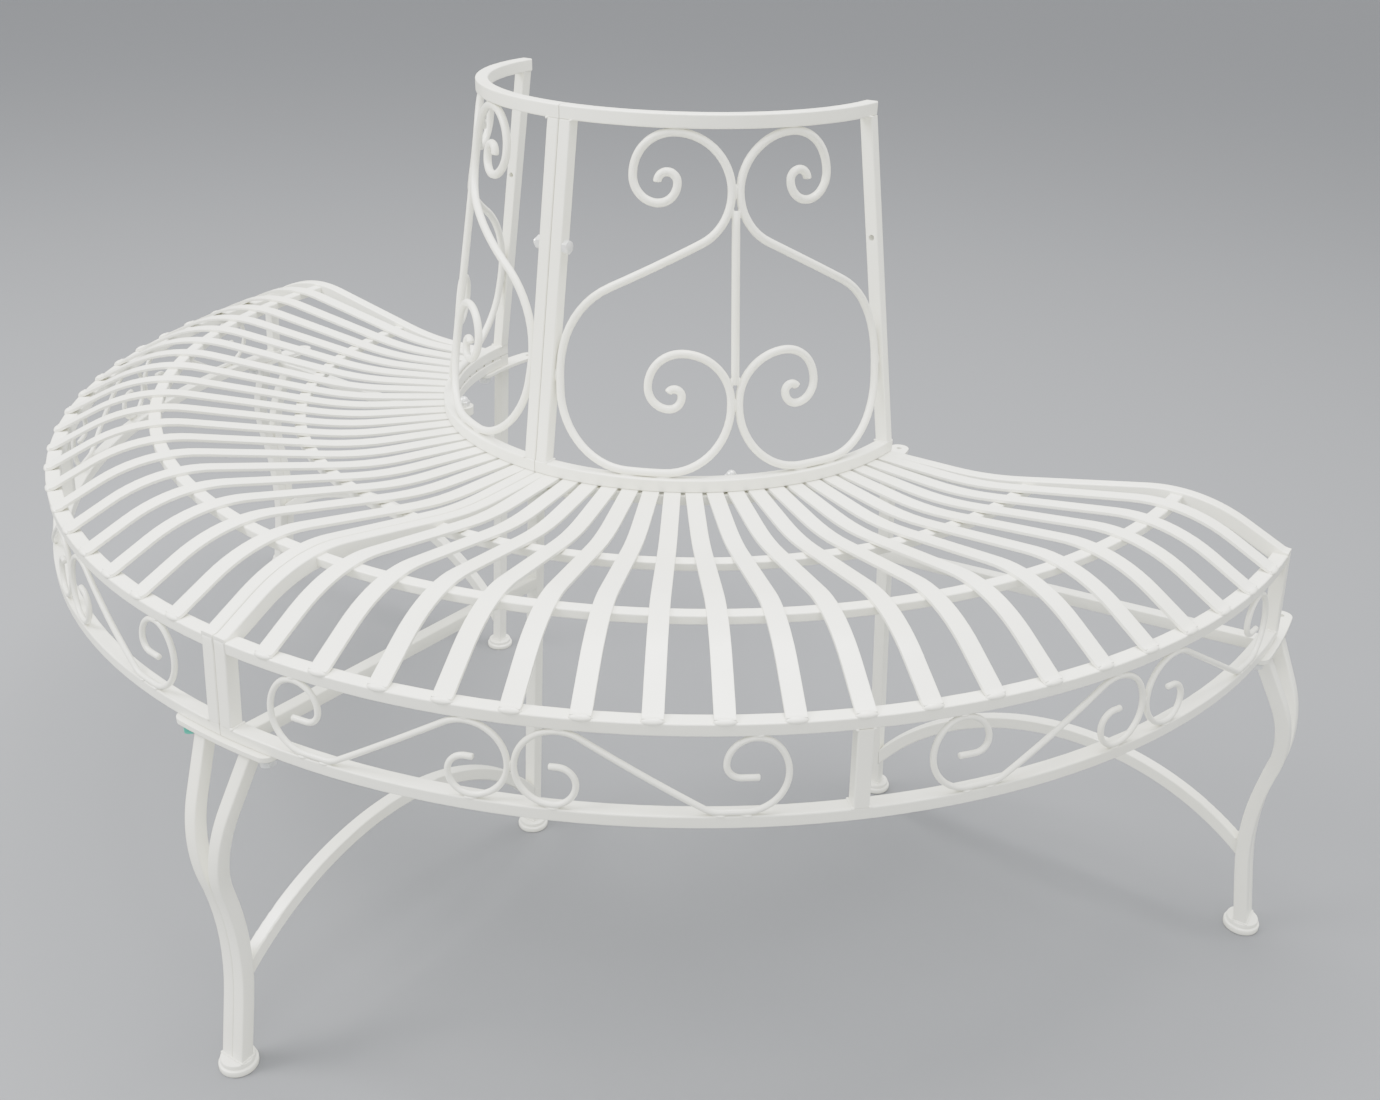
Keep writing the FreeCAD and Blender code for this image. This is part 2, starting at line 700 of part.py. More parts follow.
def section(side, angle, seam):
    """One curved section, symmetric about its middle plane."""
    place = turned(angle)
    half_tube = half_gap + size["tube_side"] / 2
    ends = {"seam": seam, "end": -seam}

    def bar(label, *sizes, **options):
        publish(ring_bar(f"{side}_{label}", *sizes, **options), f"{side}_{label}", place)

    bar("rim_upper", "rim_radius - rim_width", "rim_top - rim_height", "rim_width", "rim_height",
        rail_inset)
    bar("rim_lower", "rim_radius + apron_flare - rim_width",
        "rim_top - 2 * rim_height - apron_clear", "rim_width", "rim_height", half_gap,
        socket_radius=size["outer_plate_radius"], socket_offset=size["outer_bolt_offset"])
    bar("seat_inner_rail", "seat_inner", "rim_top - slat_thick - seat_inner_height", "tube_side",
        "seat_inner_height", rail_inset,
        socket_radius=size["inner_plate_radius"], socket_offset=size["inner_bolt_offset"])
    bar("back_bottom_rail", "back_foot_radius - tube_side", "rim_top", "tube_side", "tube_side",
        half_gap)
    bar("back_top_rail", "back_top_radius - tube_side", "back_height - tube_side", "tube_side",
        "tube_side", half_gap)
    for label, radius in (("outer_bearer", "outer_bearer"), ("inner_bearer", "inner_bearer")):
        base = bearer_top(size[radius]) - size["bearer_height"]
        bar(label, f"{radius} - bearer_width", f"{base:.3f}", "bearer_width", "bearer_height",
            rail_inset)
    publish(seat_slats(f"{side}_slats"), f"{side}_slats", place)
    posts = []
    for end, sign in ends.items():
        spot = local_turn(sign * half_sweep, -sign * half_tube)
        rail = side_rail(f"{side}_side_rail_{end}")
        pattern = side_rail(f"{side}_side_rail_{end}_pattern")
        pattern.Placement = spot
        posts.append((sign * half_sweep, -sign * half_tube, pattern))
        publish(rail, f"{side}_side_rail_{end}", place.multiply(spot))
        post = back_post(f"{side}_back_post_{end}")
        publish(post, f"{side}_back_post_{end}", place.multiply(spot))
    posts.append((0, 0, None))
    publish(apron_posts(f"{side}_apron_posts", posts), f"{side}_apron_posts", place)
    publish(apron_scrolls(f"{side}_apron_scrolls"), f"{side}_apron_scrolls", place)
    pattern = back_scrolls(f"{side}_back_scrolls_pattern")
    publish(back_scrolls(f"{side}_back_scrolls"), f"{side}_back_scrolls", place)
    publish(back_rod(f"{side}_back_rod", pattern), f"{side}_back_rod", place)
    lugs = [
        middle_lug(f"{side}_lug_lower", size["lug_middle"] - size["lug_thick"]),
        middle_lug(f"{side}_lug_upper", size["lug_middle"]),
    ]
    publish(group(f"{side}_mid_lugs", lugs), f"{side}_mid_lugs", place)


# Leg frames

leg_path = rounded_chain(
    [(727, outer_plate_base), (772, 262), (749, 145), (size["foot_radius"], size["foot_height"])],
    [150, 350],
)


def leg_offset(height):
    """Tangential offset of an outer leg tube at a height."""
    rest = size["leg_width"] / 2 + 0.03
    blend = 20
    slope = (size["leg_spread"] - rest) / (outer_plate_base - size["leg_join"] - blend / 2)
    above = height - size["leg_join"]
    if above <= 0:
        return rest
    if above <= blend:
        return rest + slope * above ** 2 / (2 * blend)
    return rest + slope * (above - blend / 2)


def tube_section(centre, across, depth_way, depth):
    """Rounded rectangle about a point: tangential width by depth."""
    half_w = size["leg_width"] / 2
    half_d = depth / 2
    corner = size["tube_corner"]
    edges = []
    signs = [(1, 1), (-1, 1), (-1, -1), (1, -1)]
    spots = []
    for sw, sd in signs:
        near = centre + across * (sw * (half_w - corner)) + depth_way * (sd * half_d)
        mid_w = half_w - corner * (1 - math.sqrt(0.5))
        mid_d = half_d - corner * (1 - math.sqrt(0.5))
        middle = centre + across * (sw * mid_w) + depth_way * (sd * mid_d)
        far = centre + across * (sw * half_w) + depth_way * (sd * (half_d - corner))
        spots.append((far, middle, near) if sw * sd > 0 else (near, middle, far))
    for index, (first, middle, last) in enumerate(spots):
        edges.append(Part.Arc(first, middle, last).toShape())
        edges.append(Part.makeLine(last, spots[(index + 1) % 4][0]))
    return Part.Wire(edges)


def leg_stations():
    """Centres and depth directions along the outer leg, from the plate to the foot."""
    stations = []
    for start, middle, end in leg_path:
        curve = Part.LineSegment(start, end) if middle is None else Part.Arc(start, middle, end)
        edge = curve.toShape()
        count = max(2, math.ceil(edge.Length / 14))
        for step in range(count):
            share = edge.FirstParameter + (edge.LastParameter - edge.FirstParameter) * step / count
            stations.append((edge.valueAt(share), edge.tangentAt(share)))
    last_way = (leg_path[-1][2] - leg_path[-1][0]).normalize()
    stations.append((leg_path[-1][2], last_way))
    return stations


def outer_tube(name, side):
    """One of the two tubes that spread from the foot to the lug plate."""
    stations = leg_stations()
    wires = []
    for index, (place, way) in enumerate(stations):
        centre = Vector(place.x, side * leg_offset(place.y), place.y)
        if index in (0, len(stations) - 1):
            depth_way = Vector(1, 0, 0)
            depth = size["leg_depth"] / abs(way.y)
        else:
            depth_way = Vector(-way.y, 0, way.x)
            depth = size["leg_depth"]
        wires.append(tube_section(centre, Vector(0, 1, 0), depth_way, depth))
    tube = doc.addObject("Part::Feature", name)
    tube.Shape = Part.makeLoft(wires, True, False)
    return tube


def outer_legs(name):
    """The pair of outer tubes of a frame."""
    return [outer_tube(f"{name}_{number}", side) for number, side in enumerate((-1, 1))]


def lug_plate(name, radius, reach, thickness, base, offset):
    """Curved lug plate with rounded ends and a bolt hole near each end."""
    half = size["plate_half_width"]
    turn = math.asin((reach - half) / radius)

    def at(distance, angle):
        return Vector(distance * math.cos(angle), distance * math.sin(angle), 0)

    curves = [
        Part.Arc(at(radius + half, -turn), at(radius + half, 0), at(radius + half, turn)),
        Part.Arc(at(radius - half, -turn), at(radius - half, 0), at(radius - half, turn)),
    ]
    for side in (-1, 1):
        middle = at(radius, side * turn)
        tip = middle + Vector(-math.sin(turn) * half, side * math.cos(turn) * half, 0)
        curves.append(Part.Arc(at(radius - half, side * turn), tip, at(radius + half, side * turn)))
        hole = at(radius, side * math.asin(offset / radius))
        bore = size["bolt_size"] / 2 + size["hole_play"]
        curves.append(Part.Circle(hole, Vector(0, 0, 1), bore))
    body = new_body(name)
    pad(body, new_sketch(body, "XY_Plane", curves, base), thickness)
    return body


def foot(name, radius, diameter, height):
    """Two-tier levelling foot."""
    tier = height * 0.55
    flange = doc.addObject("Part::Cylinder", name + "_flange")
    flange.Radius = diameter / 2
    flange.Height = tier
    collar = doc.addObject("Part::Cylinder", name + "_collar")
    collar.Radius = diameter / 2 - size["tube_corner"] * 2
    collar.Height = height - tier
    collar.Placement.Base = Vector(0, 0, tier)
    joined = doc.addObject("Part::Fuse", name)
    joined.Base = flange
    joined.Tool = collar
    joined.Placement.Base = Vector(radius, 0, 0)
    return joined


def inner_leg_axis(height):
    """Radius of the inner leg's axis at a height."""
    top, low = inner_plate_base, size["inner_foot_height"]
    share = (top - height) / (top - low)
    return size["inner_leg_top"] + share * (size["inner_foot_radius"] - size["inner_leg_top"])


def inner_leg(name):
    """Straight inner leg from its plate to its foot."""
    low = size["inner_foot_height"]
    ends = (inner_leg_axis(low), low), (inner_leg_axis(inner_plate_base), inner_plate_base)
    return radial_bar(name, leaning_outline(*ends, size["tube_side"]), "tube_side")


def stay_bar(name, leg):
    """Bar from under the outer plate down to the inner leg."""
    top = outer_plate_base
    inner = inner_leg_axis(top)
    outer = size["outer_plate_radius"] + size["tube_side"] / 2
    level = outer - 2 * size["plate_half_width"]
    low = top - size["stay_drop"]
    depth = size["tube_side"]
    outline = loop_curves([
        (inner, low), (inner, low - depth), (outer, top - depth), (outer, top), (level, top),
    ])
    bar = radial_bar(name + "_bar", outline, "tube_side")
    return trimmed_by(name, bar, leg)


def trimmed_by(name, bar, leg):
    """Bar cut back to the face of a leg."""
    cut = doc.addObject("Part::Cut", name)
    cut.Base = bar
    cut.Tool = leg
    return cut


def arch_brace(name, legs):
    """Arched tube between the legs of a frame, cut to their faces."""
    centre = Vector(size["brace_centre"], -size["brace_depth"], 0)
    half = size["tube_side"] / 2
    limits = [math.atan2(42 + size["brace_depth"], 309 - size["brace_centre"])]
    limits.append(math.atan2(100 + size["brace_depth"], 753 - size["brace_centre"]))
    middle = sum(limits) / 2

    def at(radius, angle):
        return centre + Vector(math.cos(angle), math.sin(angle), 0) * radius

    outer = size["brace_radius"] + half
    inner = size["brace_radius"] - half
    first, last = limits
    outline = [
        Part.Arc(at(outer, first), at(outer, middle), at(outer, last)),
        Part.Arc(at(inner, first), at(inner, middle), at(inner, last)),
        Part.LineSegment(at(inner, first), at(outer, first)),
        Part.LineSegment(at(inner, last), at(outer, last)),
    ]
    bar = radial_bar(name + "_bar", outline, "tube_side")
    for number, leg in enumerate(legs):
        bar = trimmed_by(f"{name}_cut_{number}", bar, leg)
    return bar


def leg_frame(side, angle):
    """One leg frame: lug plates, spread outer leg, inner leg, stay, arch and feet."""
    place = turned(angle)

    def name(label):
        return f"{side}_{label}"

    publish(group(name("outer_leg"), outer_legs(name("outer_tube"))), name("outer_leg"), place)
    plates = [
        lug_plate(name("outer_plate"), size["outer_plate_radius"], outer_plate_reach,
                  "outer_plate_thick", outer_plate_base, size["outer_bolt_offset"]),
        lug_plate(name("inner_plate"), size["inner_plate_radius"], inner_plate_reach,
                  "inner_plate_thick", inner_plate_base, size["inner_bolt_offset"]),
    ]
    publish(group(name("plates"), plates), name("plates"), place)
    publish(inner_leg(name("inner_leg")), name("inner_leg"), place)
    publish(stay_bar(name("stay_bar"), inner_leg(name("stay_pattern"))), name("stay_bar"), place)
    legs = outer_legs(name("brace_outer_pattern")) + [inner_leg(name("brace_inner_pattern"))]
    publish(arch_brace(name("arch_brace"), legs), name("arch_brace"), place)
    feet = [
        foot(name("outer_foot"), size["foot_radius"], size["foot_size"], size["foot_height"]),
        foot(name("inner_foot"), size["inner_foot_radius"], size["inner_foot_size"],
             size["inner_foot_height"]),
    ]
    publish(group(name("feet"), feet), name("feet"), place)


# Fasteners

def bolt(name, shank, place):
    """Hexagon bolt: head below its seat, shank upward from the seat, then placed."""
    head = doc.addObject("Part::Prism", name + "_head")
    head.Polygon = 6
    bind(head, "Circumradius", "head_width / sqrt(3)")
    bind(head, "Height", "head_height")
    head.Placement.Base = Vector(0, 0, -size["head_height"])
    stem = doc.addObject("Part::Cylinder", name + "_shank")
    bind(stem, "Radius", "bolt_size / 2")
    stem.Height = shank
    joined = doc.addObject("Part::Fuse", name)
    joined.Base = head
    joined.Tool = stem
    joined.Placement = place
    return joined


def nut(name, height, place, dome=False):
    """Hexagon nut above its seat, with a closed dome if asked."""
    block = doc.addObject("Part::Prism", name + "_block")
    block.Polygon = 6
    bind(block, "Circumradius", "head_width / sqrt(3)")
    block.Height = height
    if dome:
        cap = doc.addObject("Part::Sphere", name + "_cap")
        cap.Radius = size["head_width"] * 0.45
        cap.Placement.Base = Vector(0, 0, height)
        closed = doc.addObject("Part::Fuse", name + "_closed")
        closed.Base = block
        closed.Tool = cap
        block = closed
    bore = doc.addObject("Part::Cylinder", name + "_bore")
    bind(bore, "Radius", "bolt_size / 2")
    bore.Height = height + 0.5 if dome else height + 2
    bore.Placement.Base = Vector(0, 0, 0 if dome else -1)
    threaded = doc.addObject("Part::Cut", name)
    threaded.Base = block
    threaded.Tool = bore
    threaded.Placement = place
    return threaded


def washer(name, place):
    """Plain washer above its seat."""
    disc = doc.addObject("Part::Cylinder", name + "_disc")
    bind(disc, "Radius", "washer_size / 2")
    bind(disc, "Height", "washer_thick")
    bore = doc.addObject("Part::Cylinder", name + "_bore")
    bind(bore, "Radius", "bolt_size / 2 + hole_play")
    bind(bore, "Height", "washer_thick")
    ring = doc.addObject("Part::Cut", name)
    ring.Base = disc
    ring.Tool = bore
    ring.Placement = place
    return ring


def plate_spots():
    """Bolted plate holes: (frame angle, radius, tangential offset, plate underside, thickness)."""
    outer = (size["outer_plate_radius"], size["outer_bolt_offset"], outer_plate_base,
             size["outer_plate_thick"])
    inner = (size["inner_plate_radius"], size["inner_bolt_offset"], inner_plate_base,
             size["inner_plate_thick"])
    spots = []
    for frame_angle, sides in ((-180, (1,)), (-90, (-1, 1)), (0, (-1,))):
        for side in sides:
            for radius, offset, base, thickness in (outer, inner):
                angle = frame_angle + side * math.degrees(math.asin(offset / radius))
                spots.append((angle, radius, base, thickness))
    return spots


def fasteners():
    """Bolts, washers and nuts, grouped by kind."""
    bolts = []
    washers = []
    for number, (angle, radius, base, thickness) in enumerate(plate_spots()):
        seat = turned(angle).multiply(Placement(Vector(radius, 0, base), Rotation()))
        drop = Placement(Vector(0, 0, -size["washer_thick"]), Rotation())
        washers.append(washer(f"leg_washer_{number}", seat.multiply(drop)))
        shank = size["washer_thick"] + thickness + size["socket_depth"]
        bolts.append(bolt(f"leg_bolt_{number}", shank, seat.multiply(drop)))
    publish(group("leg_bolts", bolts), "leg_bolts")
    publish(group("leg_washers", washers), "leg_washers")
    lug_bolts = []
    lug_nuts = []
    flip = Rotation(Vector(1, 0, 0), 180)
    stack = 2 * size["lug_thick"]
    nut_height = 0.8 * size["bolt_size"]
    for side, angle in (("right", -45), ("left", -135)):
        middle = size["lug_reach"] + size["lug_width"] / 2
        seat = turned(angle).multiply(Placement(Vector(middle, 0, size["lug_middle"]), Rotation()))
        head = seat.multiply(Placement(Vector(0, 0, size["lug_thick"]), flip))
        lug_bolts.append(bolt(f"{side}_lug_bolt", stack + nut_height, head))
        under = seat.multiply(Placement(Vector(0, 0, -size["lug_thick"]), flip))
        lug_nuts.append(nut(f"{side}_lug_nut", nut_height, under))
    publish(group("lug_bolts", lug_bolts), "lug_bolts")
    publish(group("lug_nuts", lug_nuts), "lug_nuts")
    radius = back_axis(size["seam_bolt_height"])
    grip = 2 * rail_inset
    toward_left = Rotation(Vector(0, 1, 0), -90)
    height = size["seam_bolt_height"]
    head = Placement(Vector(grip / 2, ring_offset - radius, height), toward_left)
    publish(bolt("seam_bolt", grip + nut_height, head), "seam_bolt")
    end = Placement(Vector(-grip / 2, ring_offset - radius, height), toward_left)
    publish(nut("seam_nut", nut_height, end, dome=True), "seam_nut")


section("right", -45, -1)
section("left", -135, 1)
leg_frame("left_end", -180)
leg_frame("seam", -90)
leg_frame("right_end", 0)
fasteners()
doc.recompute()

for item in doc.Objects:
    if "Invalid" in item.State or "Error" in item.State:
        raise RuntimeError(f"{item.Name} failed: {item.State}")
for item in nodes:
    if item.Shape.isNull() or not item.Shape.isValid():
        raise RuntimeError(f"{item.Label} has no valid shape")

os.makedirs("parts", exist_ok=True)
for item in nodes:
    item.Shape.exportStep(f"parts/{item.Label}.step")
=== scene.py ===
import logging
import math
from dataclasses import dataclass, field
from enum import Enum

import bmesh
import bpy
from mathutils import Matrix, Vector


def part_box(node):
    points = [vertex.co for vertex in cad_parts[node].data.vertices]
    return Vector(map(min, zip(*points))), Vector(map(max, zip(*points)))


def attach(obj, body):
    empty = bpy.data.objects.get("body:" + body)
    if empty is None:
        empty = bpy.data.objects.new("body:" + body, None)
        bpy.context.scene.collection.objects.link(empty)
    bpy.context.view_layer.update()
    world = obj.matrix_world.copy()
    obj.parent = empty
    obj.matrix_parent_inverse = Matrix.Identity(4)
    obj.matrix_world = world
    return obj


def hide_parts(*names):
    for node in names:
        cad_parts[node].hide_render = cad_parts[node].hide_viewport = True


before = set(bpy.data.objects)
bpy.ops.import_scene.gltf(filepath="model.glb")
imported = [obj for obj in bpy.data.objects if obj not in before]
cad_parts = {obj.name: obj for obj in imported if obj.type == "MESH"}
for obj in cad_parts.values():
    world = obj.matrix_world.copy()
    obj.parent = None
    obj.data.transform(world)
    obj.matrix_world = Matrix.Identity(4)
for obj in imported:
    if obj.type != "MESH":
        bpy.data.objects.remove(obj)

log = logging.getLogger("tree_bench")
UP = Vector((0.0, 0.0, 1.0))
QUARTER = math.pi / 2
UPSIDE_DOWN = Matrix.Rotation(math.pi, 4, "X")


class Side(Enum):
    """The two curved sections, named as seen from the front, with their middle directions."""

    RIGHT = -45.0
    LEFT = -135.0

    @property
    def prefix(self) -> str:
        """Start of the section's node names."""
        return self.name.lower()


class Stand(Enum):
    """The three leg frames and the directions in which they stand."""

    LEFT_END = -180.0
    SEAM = -90.0
    RIGHT_END = 0.0

    @property
    def prefix(self) -> str:
        """Start of the leg frame's node names."""
        return self.name.lower()

    @property
    def bolted_sides(self) -> tuple[int, ...]:
        """Turning senses in which the frame's plates carry a section."""
        return {Stand.LEFT_END: (1,), Stand.SEAM: (-1, 1), Stand.RIGHT_END: (-1,)}[self]


class Sharp(Enum):
    """Turns in degrees beyond which the edges of a kind of piece stay sharp."""

    WELDS = 180.0
    RODS = 50.0
    TURNINGS = 40.0


class Plating(Enum):
    """Finishes of the fasteners: linear colours of clean and dull metal."""

    CLEAR = ((0.90, 0.90, 0.88), (0.66, 0.69, 0.66))
    GREEN = ((0.06, 0.56, 0.40), (0.03, 0.38, 0.27))


@dataclass(frozen=True)
class RingSpace:
    """Polar places about the tree's axis, in metres.

    Attributes:
        centre_y: Distance of the ring's axis from the model's origin along +Y.
    """

    centre_y: float

    def point(self, angle: float, radius: float, height: float, along: float = 0.0) -> Vector:
        """Point at an angle in degrees, a radius and a height, shifted along anticlockwise."""
        place = self.outward(angle) * radius + self.sideways(angle) * along
        return place + Vector((0.0, self.centre_y, height))

    def outward(self, angle: float) -> Vector:
        """Unit vector away from the ring's axis."""
        turn = math.radians(angle)
        return Vector((math.cos(turn), math.sin(turn), 0.0))

    def sideways(self, angle: float) -> Vector:
        """Unit vector across a direction, positive anticlockwise."""
        turn = math.radians(angle)
        return Vector((-math.sin(turn), math.cos(turn), 0.0))


@dataclass(frozen=True)
class Rail:
    """Size and place of a curved rail, in metres.

    Attributes:
        outer: Its outer radius.
        under: Height of its underside.
        top: Height of its top.
    """

    outer: float
    under: float
    top: float

    @classmethod
    def measured(cls, node: str, centre_y: float) -> "Rail":
        """Measure a packed rail of the right section at its open end.

        Args:
            node: Name of the rail's node.
            centre_y: Place of the ring's axis.

        Returns:
            The rail, to the micrometre.
        """
        low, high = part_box(node)
        outer = math.hypot(high[0], high[1] - centre_y)
        return cls(round(outer, 6), round(low[2], 6), round(high[2], 6))


def span(node: str, axis: int) -> tuple[float, float]:
    """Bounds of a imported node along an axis, to the micrometre."""
    low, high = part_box(node)
    return round(low[axis], 6), round(high[axis], 6)


@dataclass(frozen=True)
class PackedBench(RingSpace):
    """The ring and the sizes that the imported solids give, in metres.

    Attributes:
        upper_rim: The seat's rim.
        lower_rim: The rim below the apron.
        bottom_rail: The backrest's bottom rail.
        top_rail: The backrest's top rail.
        inset: Half the gap between the sections and one post.
        tube: Side of the square tubes.
        plates: Undersides of the outer and of the inner plates.
        feet: Heights of the outer and of the inner feet.
        lugs: Underside and top of the middle lugs.
    """

    upper_rim: Rail
    lower_rim: Rail
    bottom_rail: Rail
    top_rail: Rail
    inset: float
    tube: float
    plates: tuple[float, float]
    feet: tuple[float, float]
    lugs: tuple[float, float]

    @classmethod
    def measured(cls) -> "PackedBench":
        """Measure the right section and the right end, whose inner leg stands on the diameter.

        Returns:
            The ring and its sizes.
        """
        near, far = span("right_end_inner_leg", 1)
        inner_foot, inner_plate = span("right_end_inner_leg", 2)
        centre_y = (near + far) / 2
        return cls(
            centre_y=centre_y,
            upper_rim=Rail.measured("right_rim_upper", centre_y),
            lower_rim=Rail.measured("right_rim_lower", centre_y),
            bottom_rail=Rail.measured("right_back_bottom_rail", centre_y),
            top_rail=Rail.measured("right_back_top_rail", centre_y),
            inset=span("right_back_post_seam", 0)[1],
            tube=round(far - near, 6),
            plates=(span("right_end_plates", 2)[0], inner_plate),
            feet=(span("right_end_feet", 2)[1], inner_foot),
            lugs=span("right_mid_lugs", 2),
        )

    @property
    def back_cone(self) -> "Cone":
        """Middle surface of the backrest.

        Returns:
            The cone.
        """
        edges = ((rail.outer - self.tube / 2, (rail.under + rail.top) / 2)
                 for rail in (self.bottom_rail, self.top_rail))
        return Cone(self, *edges)


@dataclass(frozen=True)
class Cone:
    """Cone about the ring's axis on which a flat drawing is bent.

    Attributes:
        space: Places about the ring's axis.
        low: Radius and height of its lower edge.
        high: Radius and height of its upper edge.
    """

    space: RingSpace
    low: tuple[float, float]
    high: tuple[float, float]

    def radius(self, height: float) -> float:
        """Radius at a height."""
        share = (height - self.low[1]) / (self.high[1] - self.low[1])
        return self.low[0] + (self.high[0] - self.low[0]) * share

    def bend(self, angle: float, across: float, height: float) -> Vector:
        """Bend a place of a flat drawing, whose middle lies at an angle in degrees."""
        radius = self.radius(height)
        return self.space.point(angle + math.degrees(across / radius), radius, height)


@dataclass
class FlatPath:
    """Flat drawing of lines and tangent arcs, sampled as it grows.

    Attributes:
        place: Current end as (across, height).
        heading: Current direction in radians.
        points: The samples so far.
        step: Longest straight between samples.
        turn_step: Widest turn between samples, in degrees.
    """

    place: tuple[float, float]
    heading: float
    points: list[tuple[float, float]] = field(default_factory=list)
    step: float = 0.006
    turn_step: float = 6.0

    def __post_init__(self) -> None:
        """Keep the start as the first sample."""
        self.points.append(self.place)

    def line(self, length: float) -> tuple[float, float]:
        """Draw a straight line.

        Args:
            length: Its length.

        Returns:
            Its end.
        """
        count = max(1, math.ceil(length / self.step))
        x, z = self.place
        for step in range(1, count + 1):
            run = length * step / count
            self.points.append((x + math.cos(self.heading) * run, z + math.sin(self.heading) * run))
        self.place = self.points[-1]
        return self.place

    def arc(self, radius: float, turn: float) -> tuple[float, float]:
        """Draw a tangent arc.

        Args:
            radius: Its radius.
            turn: Its angle in radians, positive anticlockwise.

        Returns:
            Its end.
        """
        hand = math.copysign(radius, turn)
        count = max(2, math.ceil(abs(turn) / math.radians(self.turn_step)))
        centre_x = self.place[0] - math.sin(self.heading) * hand
        centre_z = self.place[1] + math.cos(self.heading) * hand
        start = self.heading
        for step in range(1, count + 1):
            self.heading = start + turn * step / count
            self.points.append((centre_x + math.sin(self.heading) * hand,
                                centre_z - math.cos(self.heading) * hand))
        self.place = self.points[-1]
        return self.place


def new_material(name: str) -> tuple[bpy.types.Material, bpy.types.Node]:
    """Start a node material.

    Args:
        name: Its name.

    Returns:
        The material and its surface shader.
    """
    made = bpy.data.materials.new(name)
    made.use_nodes = True
    return made, made.node_tree.nodes["Principled BSDF"]


def add_node(made: bpy.types.Material, kind: str,
             values: dict[str | int, float] | None = None) -> bpy.types.Node:
    """Add a node to a material.

    Args:
        made: The material.
        kind: Blender's name of the node's type.
        values: Values of its inputs by name or number.

    Returns:
        The node.
    """
    node = made.node_tree.nodes.new(kind)
    for socket, value in (values or {}).items():
        node.inputs[socket].default_value = value
    return node


def add_ramp(made: bpy.types.Material, mask: bpy.types.NodeSocket,
             colours: tuple[tuple[float, float, float], tuple[float, float, float]],
             ends: tuple[float, float] = (0.0, 1.0)) -> bpy.types.NodeSocket:
    """Blend two colours by a mask.

    Args:
        made: The material.
        mask: The mask's socket.
        colours: Linear colours at its low and high end.
        ends: Mask values of these ends.

    Returns:
        The colour's socket.
    """
    ramp = add_node(made, "ShaderNodeValToRGB")
    for stop, end, colour in zip(ramp.color_ramp.elements, ends, colours):
        stop.position = end
        stop.color = (*colour, 1.0)
    made.node_tree.links.new(mask, ramp.inputs["Fac"])
    return ramp.outputs["Color"]


@dataclass(frozen=True)
class Patches:
    """Mask of soft irregular patches.

    Attributes:
        scale: Patches per metre.
        low: Noise level where the mask begins.
        high: Noise level where the mask is full.
        detail: Octaves of the noise.
    """

    scale: float
    low: float
    high: float
    detail: float = 5.0

    def mask(self, made: bpy.types.Material, place: bpy.types.NodeSocket) -> bpy.types.NodeSocket:
        """Add the mask to a material.

        Args:
            made: The material.
            place: Texture coordinates.

        Returns:
            The mask's socket.
        """
        noise = add_node(made, "ShaderNodeTexNoise", {"Scale": self.scale, "Detail": self.detail})
        cut = add_node(made, "ShaderNodeMapRange", {"From Min": self.low, "From Max": self.high})
        made.node_tree.links.new(place, noise.inputs["Vector"])
        made.node_tree.links.new(noise.outputs["Fac"], cut.inputs["Value"])
        return cut.outputs["Result"]


